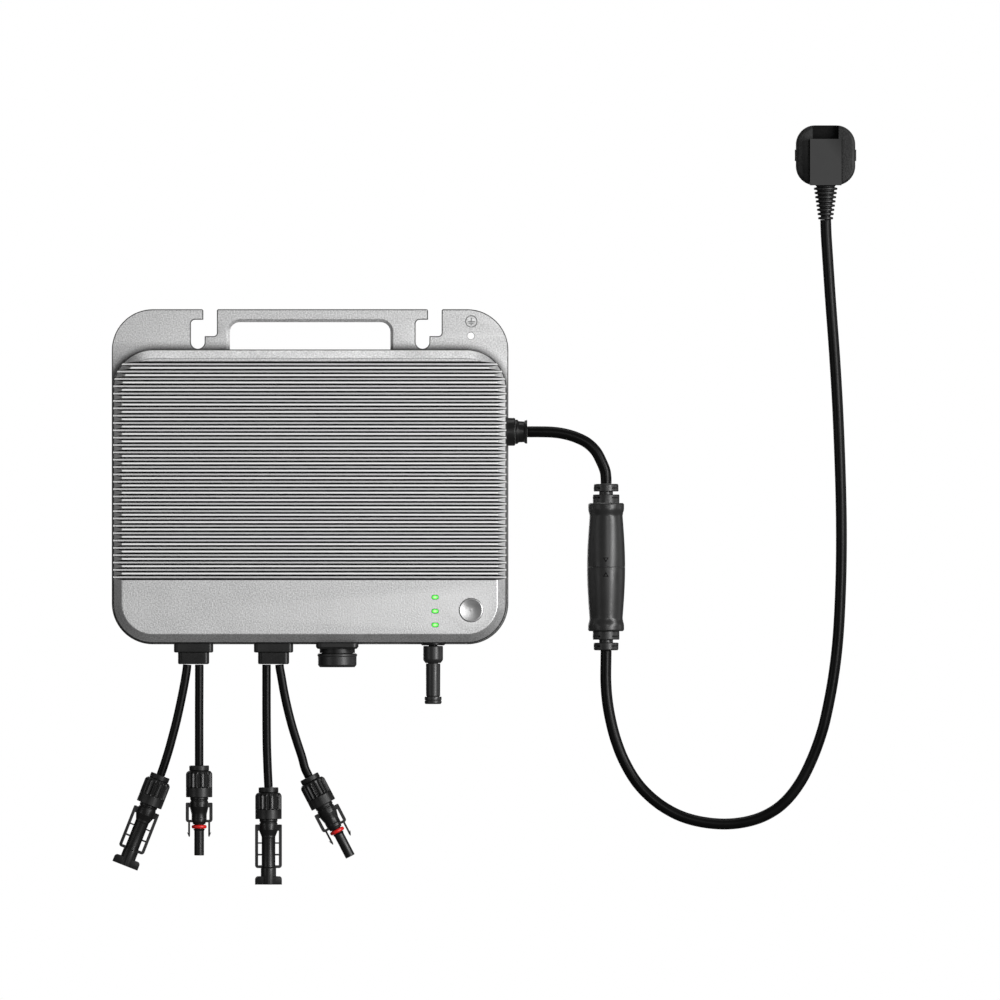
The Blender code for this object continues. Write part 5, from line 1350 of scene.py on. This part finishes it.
def side_prism(outlines, half_depth):
    """Outlines in the XZ plane on both sides of the axis, extruded along Y."""
    bodies = []
    for outline in outlines:
        for side in (-1, 1):
            mirrored = [(side * x, z) for x, z in outline]
            bodies.append([at_depth(mirrored, y) for y in (-half_depth, half_depth)])
    return loft(*bodies)


def wing_outline(end):
    """One wing from the neck to its rounded end."""
    inner, outer, top, corner = CORE_HALF_WIDTH, WING_HALF_WIDTH, -0.0262, 0.0020
    points = [(inner, top), (outer - 0.0005, top), (outer, top - 0.0005)]
    points += arc(outer - corner, corner - end, corner, 0.0, -1 / 4, 6)
    return points + [(inner, -end)]


def window_outlines(windows, inner, outer, cone_end):
    """Windows through a wing, the first of them slanting beside the cone."""
    outlines = []
    for number, (top, bottom) in enumerate(windows):
        outline = [(outer, -top), (outer, -bottom), (inner, -bottom)]
        outline += [(inner, -cone_end), (0.0065, -top)] if number == 0 else [(inner, -top)]
        outlines.append(outline)
    return outlines


def soft_slab(outline, low, high, soften, steps=3):
    """Body along Y whose edges at both ends are rounded over."""
    rings = []
    for k in range(steps + 1):
        angle = tau / 4 * k / steps
        rings.append((low + soften * (1 - cos(angle)), grown(outline, -soften * (1 - sin(angle)))))
    for k in range(steps + 1):
        angle = tau / 4 * k / steps
        rings.append((high - soften * (1 - sin(angle)), grown(outline, -soften * (1 - cos(angle)))))
    return loft([at_depth(ring, y) for y, ring in rings])


def make_winged_body(name, profile, wing_end, windows):
    """Connector body with the windowed wings that both kinds have."""
    body = link(name, turned(profile, 0.0002), "black")
    carve(body, [cutter(side_prism([wing_outline(wing_end)], WING_HALF_DEPTH))], "UNION")
    carve(body, [cutter(side_prism(window_outlines(*windows), 0.010))])
    return body


def make_socket_body(name):
    """Socket connector body: cone, tube, wings with three windows and flat end block."""
    body = make_winged_body(name, CONE + SOCKET_TUBE, 0.0570, (SOCKET_WINDOWS, 0.0048, 0.0073, 0.0350))
    half, top, end, shoulder = WING_HALF_WIDTH, -0.0627, -0.0686, 0.0022
    outline = [(half, end)] + arc(half - shoulder, top - shoulder, shoulder, 0.0, 1 / 4, 6)
    outline += [(-x, z) for x, z in reversed(outline)]
    carve(body, [cutter(soft_slab(outline, -0.0042, 0.0042, 0.0004))], "UNION")
    carve(body, [cutter(turned(SOCKET_BORE))])
    return body


def make_plug_body(name):
    """Plug connector body: cone, barrel, shoulders with one window and latch arms."""
    body = make_winged_body(name, CONE + PLUG_BARREL, 0.0401, ([(0.0296, 0.0383)], 0.0053, 0.0072, 0.0345))
    carve(body, [cutter(side_prism([LATCH_ARM], 0.0018))], "UNION")
    return body


def make_connectors():
    """A connector on the end of each panel lead, turned along it."""
    for name, (lead, tilt) in CONNECTORS.items():
        along = Vector((-sin(radians(tilt)), 0.0, -cos(radians(tilt))))
        place = Vector(PV_LEAD_ROUTES[lead][-1]) + along * GAP
        turn = (0.0, radians(tilt), 0.0)
        is_socket = name.startswith("pv_socket")
        nut = link(f"{name}_fluted_nut", nut_mesh(), "black", place, turn)
        settle(nut, "inverter", f"{name}_nut")
        body = (make_socket_body if is_socket else make_plug_body)(f"{name}_housing")
        body.location = place
        body.rotation_euler = turn
        soften_edges(body, 0.00022, 2)
        settle(body, "inverter", f"{name}_body")
        if not is_socket:
            seal = link(f"{name}_seal_ring", turned(SEAL_RING, 0.0003), "red", place, turn)
            settle(seal, "inverter", f"{name}_seal")


make_connectors()


# --- Pieces on the mains cords ----------------------------------------------------

COUPLER_PINS = ["coupler_pin_line", "coupler_pin_neutral", "coupler_pin_earth"]
PLUG_EARTHS = ["plug_earth_lower", "plug_earth_upper"]
LEAD_PIECES = ["coupler_spigot_barrel", "coupler_relief_lower_rings", "mains_plug_shell"]
LEAD_PIECES += ["mains_plug_relief_ribs", "plug_pin_left_round", "plug_pin_right_round", *PLUG_EARTHS]


# --- CAD nodes that stay ----------------------------------------------------------


def paint_cad():
    """Give every CAD node that still shows its procedural material."""
    kept = {
        "gasket": ["housing_gasket"],
        "steel": [f"cover_screw_{number}" for number in (1, 2, 3, 4)],
        "contact": COUPLER_PINS + PLUG_EARTHS,
        "board": ["circuit_board"],
        "ferrite": ["transformer_core"],
        "copper": ["transformer_winding", "output_choke"],
        "moulded": ["bulk_capacitor_1", "bulk_capacitor_2", "grid_relay", "tact_switch"],
        "pad": ["thermal_pad"],
        "rubber": ["comms_seal"],
    }
    for key, names in kept.items():
        for name in names:
            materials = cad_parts[name].data.materials
            materials.clear()
            materials.append(finish_and_painted_light[key])


paint_cad()


# --- Light and floor --------------------------------------------------------------

LIT_POINT = (0.10, -0.02, -0.02)
# Softboxes: name, place, width and height, watts
LAMPS = [
    ("front_fill", (1.0, -4.4, 0.5), (0.8, 0.8), 20.0),
    ("key_right", (2.3, -2.1, 0.30), (0.34, 2.6), 90.0),
    ("overhead", (0.2, 0.35, 2.4), (2.2, 0.9), 13.0),
    ("side_right", (2.9, 0.30, 0.0), (0.8, 1.6), 4.5),
    ("left_low", (-2.4, -1.7, 0.2), (0.25, 2.2), 6.0),
    ("rear_fill", (-0.6, 2.6, 0.6), (1.6, 1.6), 20.0),
]
AMBIENT = 0.09
FLOOR_PLACE = (0.12, -0.02, -0.50)


def area_light(name, place, size, power):
    """Rectangular softbox that faces the object and hides from the camera."""
    data = bpy.data.lights.new(name, "AREA")
    data.shape = "RECTANGLE"
    data.size, data.size_y = size
    data.energy = power
    lamp = bpy.data.objects.new(name, data)
    lamp.location = place
    aim = Vector(LIT_POINT) - Vector(place)
    lamp.rotation_euler = aim.to_track_quat("-Z", "Z").to_euler()
    bpy.context.scene.collection.objects.link(lamp)
    lamp.visible_camera = False


def make_world():
    """White backdrop for the camera and a low even light for everything else."""
    world = bpy.data.worlds.new("studio")
    bpy.context.scene.world = world
    world.use_nodes = True
    world.node_tree.nodes.clear()
    white = (1.0, 1.0, 1.0, 1.0)
    seen = add_node(world, "Background", {"Color": white, "Strength": 1.0}).outputs["Background"]
    light = add_node(world, "Background", {"Color": white, "Strength": AMBIENT}).outputs["Background"]
    camera_ray = add_node(world, "LightPath").outputs["Is Camera Ray"]
    mix = add_node(world, "MixShader", {"Fac": camera_ray, 1: light, 2: seen})
    add_node(world, "OutputWorld", {"Surface": mix.outputs["Shader"]})


def make_floor():
    """Pale round floor that fades out at its rim."""
    made = new_material("pale_floor", 0.93, 0.7)
    connect(made, "Alpha", spread(made, from_centre(made), 1.0, 0.0, 0.55, 1.0))
    grain = noise(made, 60.0)
    connect(made, "Base Color", spread(made, grain, 0.925, 0.935))
    connect(made, "Roughness", spread(made, grain, 0.83, 0.87))
    mesh = rod(1.0, -0.01, 0.0, 96)
    mesh.materials.append(made)
    floor = link("floor", mesh, None, FLOOR_PLACE)
    floor.visible_glossy = False
    floor.visible_diffuse = False


make_world()
for lamp in LAMPS:
    area_light(*lamp)
make_floor()
bpy.context.scene.view_settings.view_transform = "Standard"
